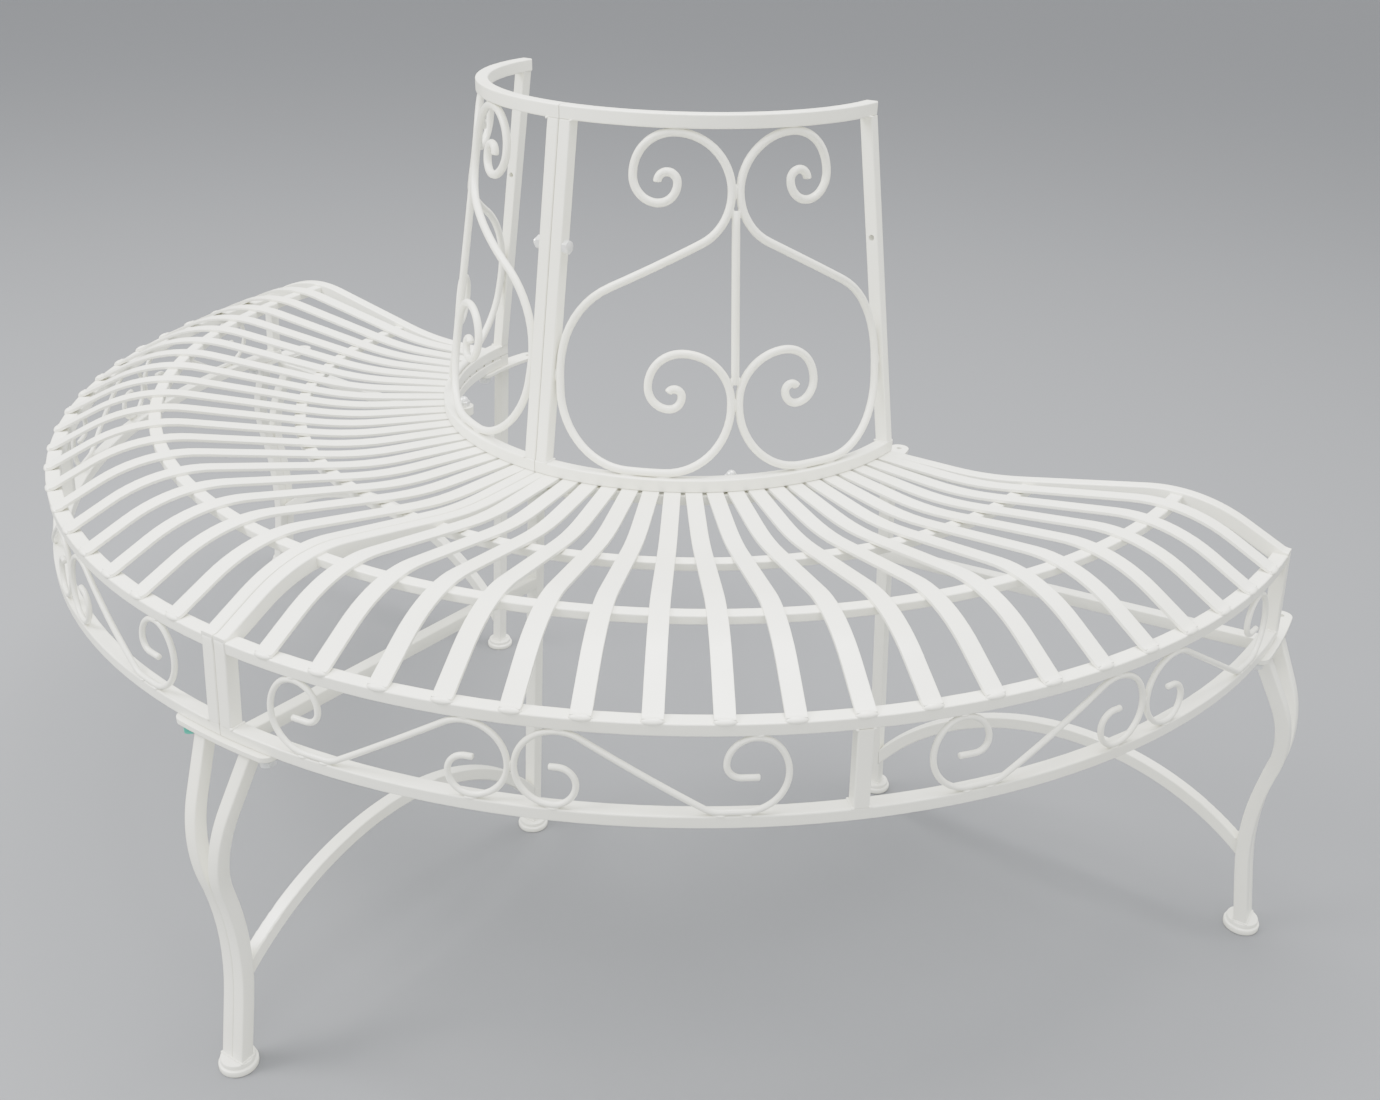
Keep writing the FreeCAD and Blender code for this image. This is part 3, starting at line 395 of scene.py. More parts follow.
@dataclass(frozen=True)
class PowderCoat:
    """Cream white powder coat with orange peel, soft edges, a little weathering and painted shade in
    corners.

    Attributes:
        name: Name of the material.
        clean: Linear colour of clean paint.
        aged: Linear colour where the paint has yellowed.
        grime_and_shade: Linear colour of the painted shade in hollows and corners, and of the specks of
            grime.
        yellowing: Where the paint has yellowed.
        dulling: Where it has lost its gloss.
        specks: Where specks of grime lie, and how strong they are.
        gloss: Roughness of glossy and of dull paint.
        coat: Weight and roughness of the clear gloss on top.
        hollow: Distance within which corners get painted shade.
        hollow_light: Openness where the painted shade begins and where it is full.
        hollow_shade: Strength of the painted shade in a corner.
        peel: Orange peel bumps per metre, and their octaves.
        peel_relief: Strength and depth of the orange peel.
        edge: Radius to which sharp edges are softened.
        samples: Rays for corners and edges.
    """

    name: str = "frame_paint_cream"
    clean: tuple[float, float, float] = (0.88, 0.88, 0.765)
    aged: tuple[float, float, float] = (0.80, 0.79, 0.65)
    # Dark colour of the painted shade in hollows and corners, and of the grime specks.
    grime_and_shade: tuple[float, float, float] = (0.42, 0.40, 0.33)
    yellowing: Patches = Patches(5.0, 0.5, 0.82)
    dulling: Patches = Patches(31.0, 0.3, 0.75)
    specks: tuple[Patches, float] = (Patches(210.0, 0.76, 0.8), 0.55)
    gloss: tuple[float, float] = (0.28, 0.46)
    coat: tuple[float, float] = (0.3, 0.16)
    # Painted shade in corners: ambient occlusion distance, openness range and strength.
    hollow: float = 0.006
    hollow_light: tuple[float, float] = (0.62, 0.1)
    hollow_shade: float = 0.5
    peel: tuple[float, float] = (420.0, 2.0)
    peel_relief: tuple[float, float] = (0.1, 0.0004)
    edge: float = 0.0009
    samples: int = 4

    def material(self) -> bpy.types.Material:
        """Build the node material.

        Returns:
            A new material.
        """
        made, shader = new_material(self.name)
        links = made.node_tree.links
        shader.inputs["Coat Weight"].default_value = self.coat[0]
        shader.inputs["Coat Roughness"].default_value = self.coat[1]
        place = add_node(made, "ShaderNodeTexCoord").outputs["Object"]
        paint = add_ramp(made, self.yellowing.mask(made, place), (self.clean, self.aged))
        # Base colour: paint darkened by painted shade in corners and by grime specks.
        links.new(self.grimed_and_shaded(made, place, paint), shader.inputs["Base Color"])
        gloss = add_node(made, "ShaderNodeMapRange", {"To Min": self.gloss[0], "To Max": self.gloss[1]})
        links.new(self.dulling.mask(made, place), gloss.inputs["Value"])
        links.new(gloss.outputs["Result"], shader.inputs["Roughness"])
        links.new(self.relief(made, place), shader.inputs["Normal"])
        return made

    def grimed_and_shaded(self, made: bpy.types.Material, place: bpy.types.NodeSocket,
               colour: bpy.types.NodeSocket) -> bpy.types.NodeSocket:
        """Darken a colour a little in corners as painted shade and, in small specks of grime, anywhere.

        Args:
            made: The material.
            place: Texture coordinates.
            colour: The paint's colour.

        Returns:
            The darkened colour's socket.
        """
        links = made.node_tree.links
        # Painted shade: ambient occlusion darkens corners within a few millimetres.
        hollow = add_node(made, "ShaderNodeAmbientOcclusion", {"Distance": self.hollow})
        hollow.samples = self.samples
        depth = add_node(made, "ShaderNodeMapRange", {
            "From Min": self.hollow_light[0], "From Max": self.hollow_light[1],
            "To Max": self.hollow_shade,
        })
        links.new(hollow.outputs["AO"], depth.inputs["Value"])
        specks = add_node(made, "ShaderNodeMath", {1: self.specks[1]})
        specks.operation = "MULTIPLY"
        links.new(self.specks[0].mask(made, place), specks.inputs[0])
        total = add_node(made, "ShaderNodeMath")
        total.operation = "ADD"
        total.use_clamp = True
        links.new(depth.outputs["Result"], total.inputs[0])
        links.new(specks.outputs["Value"], total.inputs[1])
        # Mix towards the dark colour by the painted shade plus the grime specks.
        blend = add_node(made, "ShaderNodeMix")
        blend.data_type = "RGBA"
        bare, dirty_and_shaded = (socket for socket in blend.inputs if socket.type == "RGBA")
        dirty_and_shaded.default_value = (*self.grime_and_shade, 1.0)
        links.new(total.outputs["Value"], blend.inputs["Factor"])
        links.new(colour, bare)
        return next(socket for socket in blend.outputs if socket.type == "RGBA")

    def relief(self, made: bpy.types.Material,
               place: bpy.types.NodeSocket) -> bpy.types.NodeSocket:
        """Soften the edges and add the orange peel.

        Args:
            made: The material.
            place: Texture coordinates.

        Returns:
            The normal's socket.
        """
        links = made.node_tree.links
        soft = add_node(made, "ShaderNodeBevel", {"Radius": self.edge})
        soft.samples = self.samples
        scale, detail = self.peel
        peel = add_node(made, "ShaderNodeTexNoise", {"Scale": scale, "Detail": detail})
        strength, depth = self.peel_relief
        bump = add_node(made, "ShaderNodeBump", {"Strength": strength, "Distance": depth})
        links.new(place, peel.inputs["Vector"])
        links.new(peel.outputs["Fac"], bump.inputs["Height"])
        links.new(soft.outputs["Normal"], bump.inputs["Normal"])
        return bump.outputs["Normal"]


@dataclass(frozen=True)
class ZincPlate:
    """Plated steel of the fasteners, with duller patches.

    Attributes:
        plating: Which finish.
        metallic: Share of metal in its look.
        patches: Patches per metre, and their octaves.
        dull_ends: Noise levels of bright and of dull metal.
        gloss: Roughness of bright and of dull metal.
    """

    plating: Plating
    metallic: float = 0.55
    patches: tuple[float, float] = (170.0, 4.0)
    dull_ends: tuple[float, float] = (0.38, 0.72)
    gloss: tuple[float, float] = (0.22, 0.45)

    def material(self) -> bpy.types.Material:
        """Build the node material.

        Returns:
            A new material.
        """
        made, shader = new_material(f"fastener_{self.plating.name.lower()}")
        links = made.node_tree.links
        shader.inputs["Metallic"].default_value = self.metallic
        place = add_node(made, "ShaderNodeTexCoord").outputs["Object"]
        scale, detail = self.patches
        noise = add_node(made, "ShaderNodeTexNoise", {"Scale": scale, "Detail": detail})
        level = noise.outputs["Fac"]
        gloss = add_node(made, "ShaderNodeMapRange", {"To Min": self.gloss[0], "To Max": self.gloss[1]})
        links.new(place, noise.inputs["Vector"])
        links.new(level, gloss.inputs["Value"])
        colour = add_ramp(made, level, self.plating.value, self.dull_ends)
        links.new(colour, shader.inputs["Base Color"])
        links.new(gloss.outputs["Result"], shader.inputs["Roughness"])
        return made


def dress(node: str, material: bpy.types.Material) -> None:
    """Give a carried-over node its material.

    Args:
        node: Name of the node.
        material: Material for all of its slots.
    """
    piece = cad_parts[node]
    piece.data.materials.clear()
    piece.data.materials.append(material)
    log.info("dressed %s", node)


def add_piece(name: str, mesh: bmesh.types.BMesh, material: bpy.types.Material,
              replaced: str | None = None, sharp: Sharp = Sharp.WELDS) -> None:
    """Turn a finished mesh into a piece that rides on the bench.

    Args:
        name: Name of the piece.
        mesh: The mesh, freed afterwards.
        material: Its material.
        replaced: Node whose place it takes, if any.
        sharp: Which of its edges stay sharp.
    """
    bmesh.ops.recalc_face_normals(mesh, faces=mesh.faces)
    for edge in mesh.edges:
        if len(edge.link_faces) == 2:
            edge.smooth = edge.calc_face_angle(0.0) < math.radians(sharp.value)
    for face in mesh.faces:
        face.smooth = True
    data = bpy.data.meshes.new(name)
    mesh.to_mesh(data)
    mesh.free()
    data.materials.append(material)
    piece = bpy.data.objects.new(name, data)
    bpy.context.scene.collection.objects.link(piece)
    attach(piece, "root")
    if replaced is not None:
        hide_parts(replaced)
    log.info("made %s", name)


def skin(mesh: bmesh.types.BMesh, rings: list[list[bmesh.types.BMVert]], capped: bool) -> None:
    """Join rings of vertices by faces, where a ring of one vertex is a tip.

    Args:
        mesh: The mesh.
        rings: The rings in order, all started on the same side.
        capped: Close the first and the last ring.
    """
    sides = max(len(ring) for ring in rings)
    for first, second in zip(rings, rings[1:]):
        for side in range(sides):
            after = (side + 1) % sides
            around = (first[side % len(first)], first[after % len(first)],
                      second[after % len(second)], second[side % len(second)])
            mesh.faces.new(list(dict.fromkeys(around)))
    if capped:
        mesh.faces.new(rings[0])
        mesh.faces.new(rings[-1])


@dataclass(frozen=True)
class RoundRod:
    """Round rod swept along sampled points, its cut ends slightly broken.

    Attributes:
        radius: Half its diameter.
        sides: Faces round it.
        broken: Share of the radius that is broken off its ends' edges.
    """

    radius: float
    sides: int = 14
    broken: float = 0.25

    def sweep(self, mesh: bmesh.types.BMesh, points: list[Vector]) -> None:
        """Add the rod to a mesh.

        Args:
            mesh: The mesh.
            points: Its axis.
        """
        ways = [(points[min(k + 1, len(points) - 1)] - points[max(k - 1, 0)]).normalized()
                for k in range(len(points))]
        broken = self.radius * self.broken
        stations = [(points[0], ways[0], self.radius - broken)]
        stations += [(points[0] + ways[0] * broken, ways[0], self.radius)]
        stations += [(place, way, self.radius) for place, way in zip(points[1:-1], ways[1:-1])]
        stations += [(points[-1] - ways[-1] * broken, ways[-1], self.radius)]
        stations += [(points[-1], ways[-1], self.radius - broken)]
        across = ways[0].orthogonal().normalized()
        previous = ways[0]
        rings = []
        for place, way, radius in stations:
            across = previous.rotation_difference(way) @ across
            lift = way.cross(across)
            ring = []
            for side in range(self.sides):
                turn = 2 * math.pi * side / self.sides
                spot = place + (across * math.cos(turn) + lift * math.sin(turn)) * radius
                ring.append(mesh.verts.new(spot))
            rings.append(ring)
            previous = way
        skin(mesh, rings, capped=True)


@dataclass(frozen=True)
class SquareTube:
    """Rectangular tube with rounded corners.

    Attributes:
        width: Size across.
        depth: Size along its second direction.
        corner: Radius of its corners.
        steps: Faces round a corner.
    """

    width: float
    depth: float
    corner: float = 0.0015
    steps: int = 3

    def sweep(self, mesh: bmesh.types.BMesh,
              stations: list[tuple[Vector, Vector, Vector]]) -> None:
        """Add the tube to a mesh.

        Args:
            mesh: The mesh.
            stations: Places of its middle, each with the directions of width and depth.
        """
        outline = []
        for quarter, (wide, deep) in enumerate(((1, 1), (-1, 1), (-1, -1), (1, -1))):
            for step in range(self.steps + 1):
                turn = QUARTER * (quarter + step / self.steps)
                outline.append((
                    wide * (self.width / 2 - self.corner) + self.corner * math.cos(turn),
                    deep * (self.depth / 2 - self.corner) + self.corner * math.sin(turn)))
        rings = [[mesh.verts.new(place + across * x + deep * y) for x, y in outline]
                 for place, across, deep in stations]
        skin(mesh, rings, capped=True)


@dataclass(frozen=True)
class RoundedChain:
    """Chain of lines with rounded corners, drawn over radius and height.

    Attributes:
        knots: Its ends and corners.
        bends: Radius of each corner.
        step: Longest straight between samples.
        turn_step: Widest turn between samples, in degrees.
    """

    knots: tuple[tuple[float, float], ...]
    bends: tuple[float, ...]
    step: float = 0.008
    turn_step: float = 3.0

    def straight(self, start: Vector, end: Vector) -> list[tuple[Vector, Vector]]:
        """Sample a line without its end.

        Args:
            start: Its start.
            end: Its end.

        Returns:
            Places and directions.
        """
        count = max(1, math.ceil((end - start).length / self.step))
        way = (end - start).normalized()
        return [(start.lerp(end, step / count), way) for step in range(count)]

    def stations(self) -> list[tuple[Vector, Vector]]:
        """Sample the chain.

        Returns:
            Places and directions as vectors of radius and height.
        """
        knots = [Vector(knot) for knot in self.knots]
        found = []
        start = knots[0]
        for before, corner, after, bend in zip(knots, knots[1:], knots[2:], self.bends):
            inward = (before - corner).normalized()
            onward = (after - corner).normalized()
            half = inward.angle(onward) / 2
            first = corner + inward * (bend / math.tan(half))
            centre = corner + (inward + onward).normalized() * (bend / math.sin(half))
            turn = math.copysign(math.pi - 2 * half, onward.cross(inward))
            found += self.straight(start, first)
            count = max(2, math.ceil(abs(turn) / math.radians(self.turn_step)))
            for step in range(count + 1):
                spoke = Matrix.Rotation(turn * step / count, 2) @ (first - centre)
                way = Vector((-spoke.y, spoke.x)).normalized() * math.copysign(1.0, turn)
                found.append((centre + spoke, way))
            start = found.pop()[0]
        found += self.straight(start, knots[-1])
        return [*found, (knots[-1], found[-1][1])]


@dataclass(frozen=True)
class Turning:
    """Body of revolution about a local +Z axis.

    Attributes:
        profile: Radius and height of each ring, from the bottom to the top.
        sides: Faces round it.
    """

    profile: tuple[tuple[float, float], ...]
    sides: int = 48

    def make(self, mesh: bmesh.types.BMesh, place: Matrix) -> None:
        """Add the body to a mesh, closed where its profile meets the axis.

        Args:
            mesh: The mesh.
            place: Where it stands.
        """
        rings = []
        for radius, height in self.profile:
            if radius == 0.0:
                rings.append([mesh.verts.new(place @ Vector((0.0, 0.0, height)))])
                continue
            ring = []
            for side in range(self.sides):
                turn = 2 * math.pi * side / self.sides
                spot = Vector((radius * math.cos(turn), radius * math.sin(turn), height))
                ring.append(mesh.verts.new(place @ spot))
            rings.append(ring)
        skin(mesh, rings, capped=False)


@dataclass(frozen=True)
class Hexagon:
    """Hexagon of a bolt head or nut above a local z = 0, chamfered as a turned blank.

    Attributes:
        flats: Width across flats.
        height: Its height.
        sides: Samples round it, a multiple of six.
        crown: Share of the flats' width that stays flat on top.
        chamfer: Slope of the chamfer in degrees.
    """

    flats: float = 0.013
    height: float = 0.0053
    sides: int = 48
    crown: float = 0.94
    chamfer: float = 30.0

    def make(self, mesh: bmesh.types.BMesh, place: Matrix, both: bool = False) -> None:
        """Add the hexagon to a mesh.

        Args:
            mesh: The mesh.
            place: Where its seat is.
            both: Chamfer the seat as well, as on a nut.
        """
        inner = self.flats / 2 * self.crown
        facet = math.pi / 3
        rings = [[] for _ in range(4 if both else 3)]
        for side in range(self.sides):
            turn = 2 * math.pi * side / self.sides
            way = Vector((math.cos(turn), math.sin(turn), 0.0))
            reach = self.flats / 2 / math.cos((turn + facet / 2) % facet - facet / 2)
            fall = (reach - inner) * math.tan(math.radians(self.chamfer))
            spots = [
                way * reach + UP * (fall if both else 0.0),
                way * reach + UP * (self.height - fall),
                way * inner + UP * self.height,
            ]
            if both:
                spots.insert(0, way * inner)
            for ring, spot in zip(rings, spots):
                ring.append(mesh.verts.new(place @ spot))
        skin(mesh, rings, capped=True)


class Bead(Enum):
    """Weld beads at the scrolls: half sizes along, across and up."""

    APRON_RIM = (0.0062, 0.0030, 0.0017)
    APRON_PAIR = (0.0055, 0.0013, 0.0024)
    BACK_RAIL = (0.009, 0.0036, 0.0022)
    BACK_SIDE = (0.008, 0.0022, 0.0034)
    BACK_ROD = (0.006, 0.0022, 0.0034)


@dataclass
class WeldSeams:
    """Beads of weld under the paint, gathered into one piece.

    Attributes:
        name: Name of the piece.
        mesh: The mesh that gathers them.
        sides: Faces round a bead.
        levels: Rings from a bead's middle to either tip.
        spacing: Spacing of a run's beads as a share of half its width.
        swell: Share by which they swell and shrink, and the turn from one to the next.
        length: Half length of a run's bead as a share of half its width.
        height: Height of a run's bead as a share of half its width.
    """

    name: str
    mesh: bmesh.types.BMesh = field(default_factory=bmesh.new)
    sides: int = 10
    levels: int = 3
    spacing: float = 1.3
    swell: tuple[float, float] = (0.12, 2.4)
    length: float = 1.25
    height: float = 0.8

    def add(self, place: Vector, along: Vector, up: Vector,
            size: tuple[float, float, float]) -> None:
        """Add one bead.

        Args:
            place: Its middle.
            along: Its long direction.
            up: The direction of its height.
            size: Half sizes along, across and up.
        """
        along = along.normalized()
        across = up.cross(along).normalized()
        lift = along.cross(across)
        turn = Matrix((along, across, lift)).transposed().to_4x4()
        bead = Matrix.Translation(place) @ turn @ Matrix.Diagonal((*size, 1.0))
        count = self.levels
        tilts = [QUARTER * step / count for step in range(-count, count + 1)]
        # Rounded, so that both tips lie exactly on the axis.
        outline = tuple((round(math.cos(tilt), 6), math.sin(tilt)) for tilt in tilts)
        Turning(outline, self.sides).make(self.mesh, bead)

    def run(self, start: Vector, end: Vector, up: Vector, half: float = 0.0016) -> None:
        """Add a rippled run of beads.

        Args:
            start: Its first end.
            end: Its last end.
            up: The direction of its height.
            half: Half its width.
        """
        count = max(2, round((end - start).length / (half * self.spacing)))
        for step in range(count + 1):
            place = start.lerp(end, step / count)
            wide = half * (1.0 + self.swell[0] * math.sin(self.swell[1] * step))
            self.add(place, end - start, up, (half * self.length, wide, wide * self.height))

    def build(self, material: bpy.types.Material) -> None:
        """Make the piece."""
        add_piece(self.name, self.mesh, material)


@dataclass
class ApronScrolls:
    """The four scrolls between a section's rims.

    Attributes:
        side: Which section.
        bench: The ring and its packed sizes.
        inset: Scroll axes behind the rims' faces.
        rod: Rod diameter.
        length: Length between rod centres.
        drop: Widest point of the inner lobe below the middle.
        bend: Bend from the slanting run to the flat.
        flat: Straight along the lower rim.
        flank: Bend up the side of the outer lobe.
        end_curl: Curled end of the outer lobe.
        end_tip: Straight tip of the outer lobe.
        curl: Bend up from the lower rim in the inner lobe.
        hook: Curled end of the inner lobe.
        tip: Straight tip of the inner lobe.
        bay_turn: Direction of a bay's middle from the section's middle, in degrees.
    """

    side: Side
    bench: PackedBench
    inset: float = 0.0026
    rod: float = 0.0055
    length: float = 0.2228
    drop: float = 0.002
    bend: float = 0.025
    flat: float = 0.0219
    flank: float = 0.038
    end_curl: float = 0.0125
    end_tip: float = 0.015
    curl: float = 0.0195
    hook: float = 0.0155
    tip: float = 0.007
    bay_turn: float = 22.5

    @property
    def levels(self) -> tuple[float, float]:
        """Top of the lower rim and underside of the upper rim."""
        return self.bench.lower_rim.top, self.bench.upper_rim.under

    @property
    def cone(self) -> Cone:
        """Cone through the scroll axes, behind the rims' faces.

        Returns:
            The cone.
        """
        base, under = self.levels
        low = (self.bench.lower_rim.outer - self.inset, base + self.rod / 2)
        high = (self.bench.upper_rim.outer - self.inset, under - self.rod / 2)
        return Cone(self.bench, low, high)

    def drawing(self) -> tuple[list[tuple[float, float]], list[tuple[float, float]]]:
        """Draw one scroll, its inner lobe towards the bay's middle at across = 0.

        Returns:
            The samples, and the places where it touches the rims.
        """
        base, under = self.levels
        half = (under - base - self.rod) / 2
        middle = (base + under) / 2
        over = half + self.drop
        reach = (self.length + self.rod) / 2
        start = (reach - self.length / 2, middle - self.drop)
        flat_start = reach + self.length / 2 - half - self.flat
        run = flat_start - start[0] - over
        rise = middle + self.bend - half - start[1]
        stretch = math.hypot(run, rise)
        slope = math.asin((over + self.bend) / stretch) - math.atan2(rise, run)
        shoulder = math.sin(QUARTER / 2)
        crown = (half - self.flank * shoulder) / (1 - shoulder)
        back = FlatPath(start, -QUARTER)
        touches = [back.arc(half - self.drop, QUARTER)]
        back.arc(self.curl, QUARTER)
        back.arc(self.hook, QUARTER)
        back.line(self.tip)
        ahead = FlatPath(start, QUARTER)
        touches.append(ahead.arc(over, -QUARTER))
        ahead.arc(over, -slope)
        ahead.line(math.sqrt(stretch ** 2 - (over + self.bend) ** 2))
        touches.append(ahead.arc(self.bend, slope))
        touches.append(ahead.line(self.flat))
        ahead.arc(half, QUARTER)
        ahead.arc(self.flank, QUARTER / 2)
        touches.append(ahead.arc(crown, QUARTER / 2))
        ahead.arc(crown, QUARTER)
        ahead.arc(self.end_curl, QUARTER)
        ahead.line(self.end_tip)
        return back.points[::-1] + ahead.points[1:], touches

    def build(self, paint: bpy.types.Material, seams: WeldSeams) -> None:
        """Make the scrolls and their welds.

        Args:
            paint: The frame's paint.
            seams: Welds of the section.
        """
        points, touches = self.drawing()
        base, under = self.levels
        middle = (base + under) / 2
        mesh = bmesh.new()
        for bay in (-self.bay_turn, self.bay_turn):
            angle = self.side.value + bay
            for hand in (-1, 1):
                axis = [self.cone.bend(angle, hand * x, z) for x, z in points]
                RoundRod(self.rod / 2).sweep(mesh, axis)
                for x, z in touches:
                    place = self.cone.bend(angle, hand * x, base if z < middle else under)
                    seams.add(place, self.bench.sideways(angle), UP, Bead.APRON_RIM.value)
            place = self.cone.bend(angle, 0.0, middle - self.drop)
            seams.add(place, UP, self.bench.outward(angle), Bead.APRON_PAIR.value)
        name = f"{self.side.prefix}_apron_scrolls"
        add_piece(f"{name}_rods", mesh, paint, name, Sharp.RODS)


@dataclass
class BackPanel:
    """The two scrolls and the centre rod of a section's backrest.

    Attributes:
        side: Which section.
        bench: The ring and its packed sizes.
        rod: Rod diameter.
        sides: Faces round a rod.
        play: Gap between a scroll and its post.
        slope: Slope of the scroll through its middle, in degrees.
        start: Distance of that middle from the panel's centre line.
        rise: Bend up to the other scroll.
        crown: First bend over the top.
        upper: Further bends of the upper lobe.
        upper_tip: Radius and turn in degrees of the upper tip.
        fall: Bend down along the post.
        heel: Bend from the post to the bottom rail.
        toe: Bend from the bottom rail up to the other scroll.
        toe_rise: Straight where the scrolls meet.
        lower: Bends of the lower lobe.
        lower_tip: Radius and turn in degrees of the lower tip.
        cope: Centre rod's ends from where the scrolls meet.
        bar_steps: Straights along the centre rod.
        bead_inset: Weld beads of the centre rod from its ends.
        bead_side: Share of the rod's radius at which they lie beside its axis.
        fit_rounds: Rounds in which the scroll is fitted to its leaning post.
    """

    side: Side
    bench: PackedBench
    rod: float = 0.0085
    sides: int = 16
    play: float = 0.0002
    slope: float = 26.9
    start: float = 0.0766
    rise: float = 0.0563
    crown: float = 0.0565
    upper: tuple[float, ...] = (0.0434, 0.0248, 0.0203)
    upper_tip: tuple[float, float] = (0.010, 180.0)
    fall: float = 0.1113
    heel: float = 0.076
    toe: float = 0.0723
    toe_rise: float = 0.0036
    lower: tuple[float, ...] = (0.051, 0.0365, 0.0217, 0.0137)
    lower_tip: tuple[float, float] = (0.0075, 150.0)
    cope: float = 0.0185
    bar_steps: int = 12
    bead_inset: float = 0.002
    bead_side: float = 0.9
    fit_rounds: int = 20

    @property
    def levels(self) -> tuple[float, float]:
        """Top of the bottom rail and underside of the top rail."""
        return self.bench.bottom_rail.top, self.bench.top_rail.under

    def drawing(self) -> tuple[list[tuple[float, float]], list[tuple[float, float, bool]]]:
        """Draw the left scroll from its upper to its lower curl.

        Returns:
            The samples, and the places where it touches something, with True for level welds.
        """
        half = self.rod / 2
        slope = math.radians(self.slope)
        base, under = self.levels
        right = -half
        top = under - half
        bottom = base + half
        climb = (right + self.start - self.rise * (1 - math.sin(slope))) / math.cos(slope)
        start_z = top - self.crown - self.rise * math.cos(slope) - climb * math.sin(slope)
        cone = self.bench.back_cone
        sweep = QUARTER / 2
        lean = math.atan((cone.radius(0.0) - cone.radius(1.0)) * sweep)
        left_z = (top + bottom) / 2
        for _ in range(self.fit_rounds):
            contact = left_z + self.fall * math.sin(lean)
            edge = sweep * cone.radius(contact) - self.bench.inset - half
            left = -edge - self.fall * (1 - math.cos(lean)) + self.play
            descent = (-self.start - left - self.fall * (1 - math.sin(slope))) / math.cos(slope)
            left_z = start_z - descent * math.sin(slope) - self.fall * math.cos(slope)
        up = FlatPath((-self.start, start_z), slope)
        up.line(climb)
        touches = [(*up.arc(self.rise, QUARTER - slope), False)]
        touches.append((*up.arc(self.crown, QUARTER), True))
        for radius in self.upper:
            up.arc(radius, QUARTER)
        up.arc(self.upper_tip[0], math.radians(self.upper_tip[1]))
        down = FlatPath((-self.start, start_z), math.pi + slope)
        down.line(descent)
        touches.append((*down.arc(self.fall, QUARTER - slope), False))
        down.line(left_z - bottom - self.heel)
        touches.append((*down.arc(self.heel, QUARTER), True))
        touches.append((*down.line(right - left - self.heel - self.toe), True))
        touches.append((*down.arc(self.toe, QUARTER), False))
        down.line(self.toe_rise)
        for radius in self.lower:
            down.arc(radius, QUARTER)
        down.arc(self.lower_tip[0], math.radians(self.lower_tip[1]))
        return up.points[::-1] + down.points[1:], touches

    def build(self, paint: bpy.types.Material, seams: WeldSeams) -> None:
        """Make the scrolls, the rod and their welds.

        Args:
            paint: The frame's paint.
            seams: Welds of the section.
        """
        points, touches = self.drawing()
        rod = RoundRod(self.rod / 2, self.sides)
        mesh = bmesh.new()
        for hand in (-1, 1):
            bent = [self.bench.back_cone.bend(self.side.value, -hand * x, z) for x, z in points]
            rod.sweep(mesh, bent)
            for x, z, level in touches:
                self.weld(seams, -hand * x, z, level)
        name = f"{self.side.prefix}_back_scrolls"
        add_piece(f"{name}_rods", mesh, paint, name, Sharp.RODS)
        self.centre_rod(paint, seams)

    def centre_rod(self, paint: bpy.types.Material, seams: WeldSeams) -> None:
        """Make the rod between the places where the two scrolls meet.

        Args:
            paint: The frame's paint.
            seams: Welds of the section.
        """
        base, under = self.levels
        angle = self.side.value
        half = self.rod / 2
        cone = self.bench.back_cone
        low = base + half + self.toe + self.toe_rise + self.cope
        high = under - half - self.crown - self.cope
        count = self.bar_steps
        heights = [low + (high - low) * step / count for step in range(count + 1)]
        mesh = bmesh.new()
        RoundRod(half, self.sides).sweep(mesh, [cone.bend(angle, 0.0, z) for z in heights])
        name = f"{self.side.prefix}_back_rod"
        add_piece(f"{name}_bar", mesh, paint, name, Sharp.RODS)
        for height in (low + self.bead_inset, high - self.bead_inset):
            for hand in (-1, 1):
                place = cone.bend(angle, hand * half * self.bead_side, height)
                seams.add(place, UP, self.bench.outward(angle), Bead.BACK_ROD.value)

    def weld(self, seams: WeldSeams, across: float, height: float, level: bool) -> None:
        """Add the weld of one touch, pushed to the surface that it joins.

        Args:
            seams: Welds of the section.
            across: Place of the rod's axis.
            height: Height of the rod's axis.
            level: True on a rail, False beside a post or another rod.
        """
        base, under = self.levels
        cone = self.bench.back_cone
        angle = self.side.value
        around = angle + math.degrees(across / cone.radius(height))
        if level:
            place = cone.bend(angle, across, base if height < (base + under) / 2 else under)
            seams.add(place, self.bench.sideways(around), UP, Bead.BACK_RAIL.value)
            return
        beside_post = abs(across) > 2 * self.rod
        push = math.copysign(self.rod / 2, across if beside_post else -across)
        place = cone.bend(angle, across + push, height)
        seams.add(place, UP, self.bench.outward(around), Bead.BACK_SIDE.value)


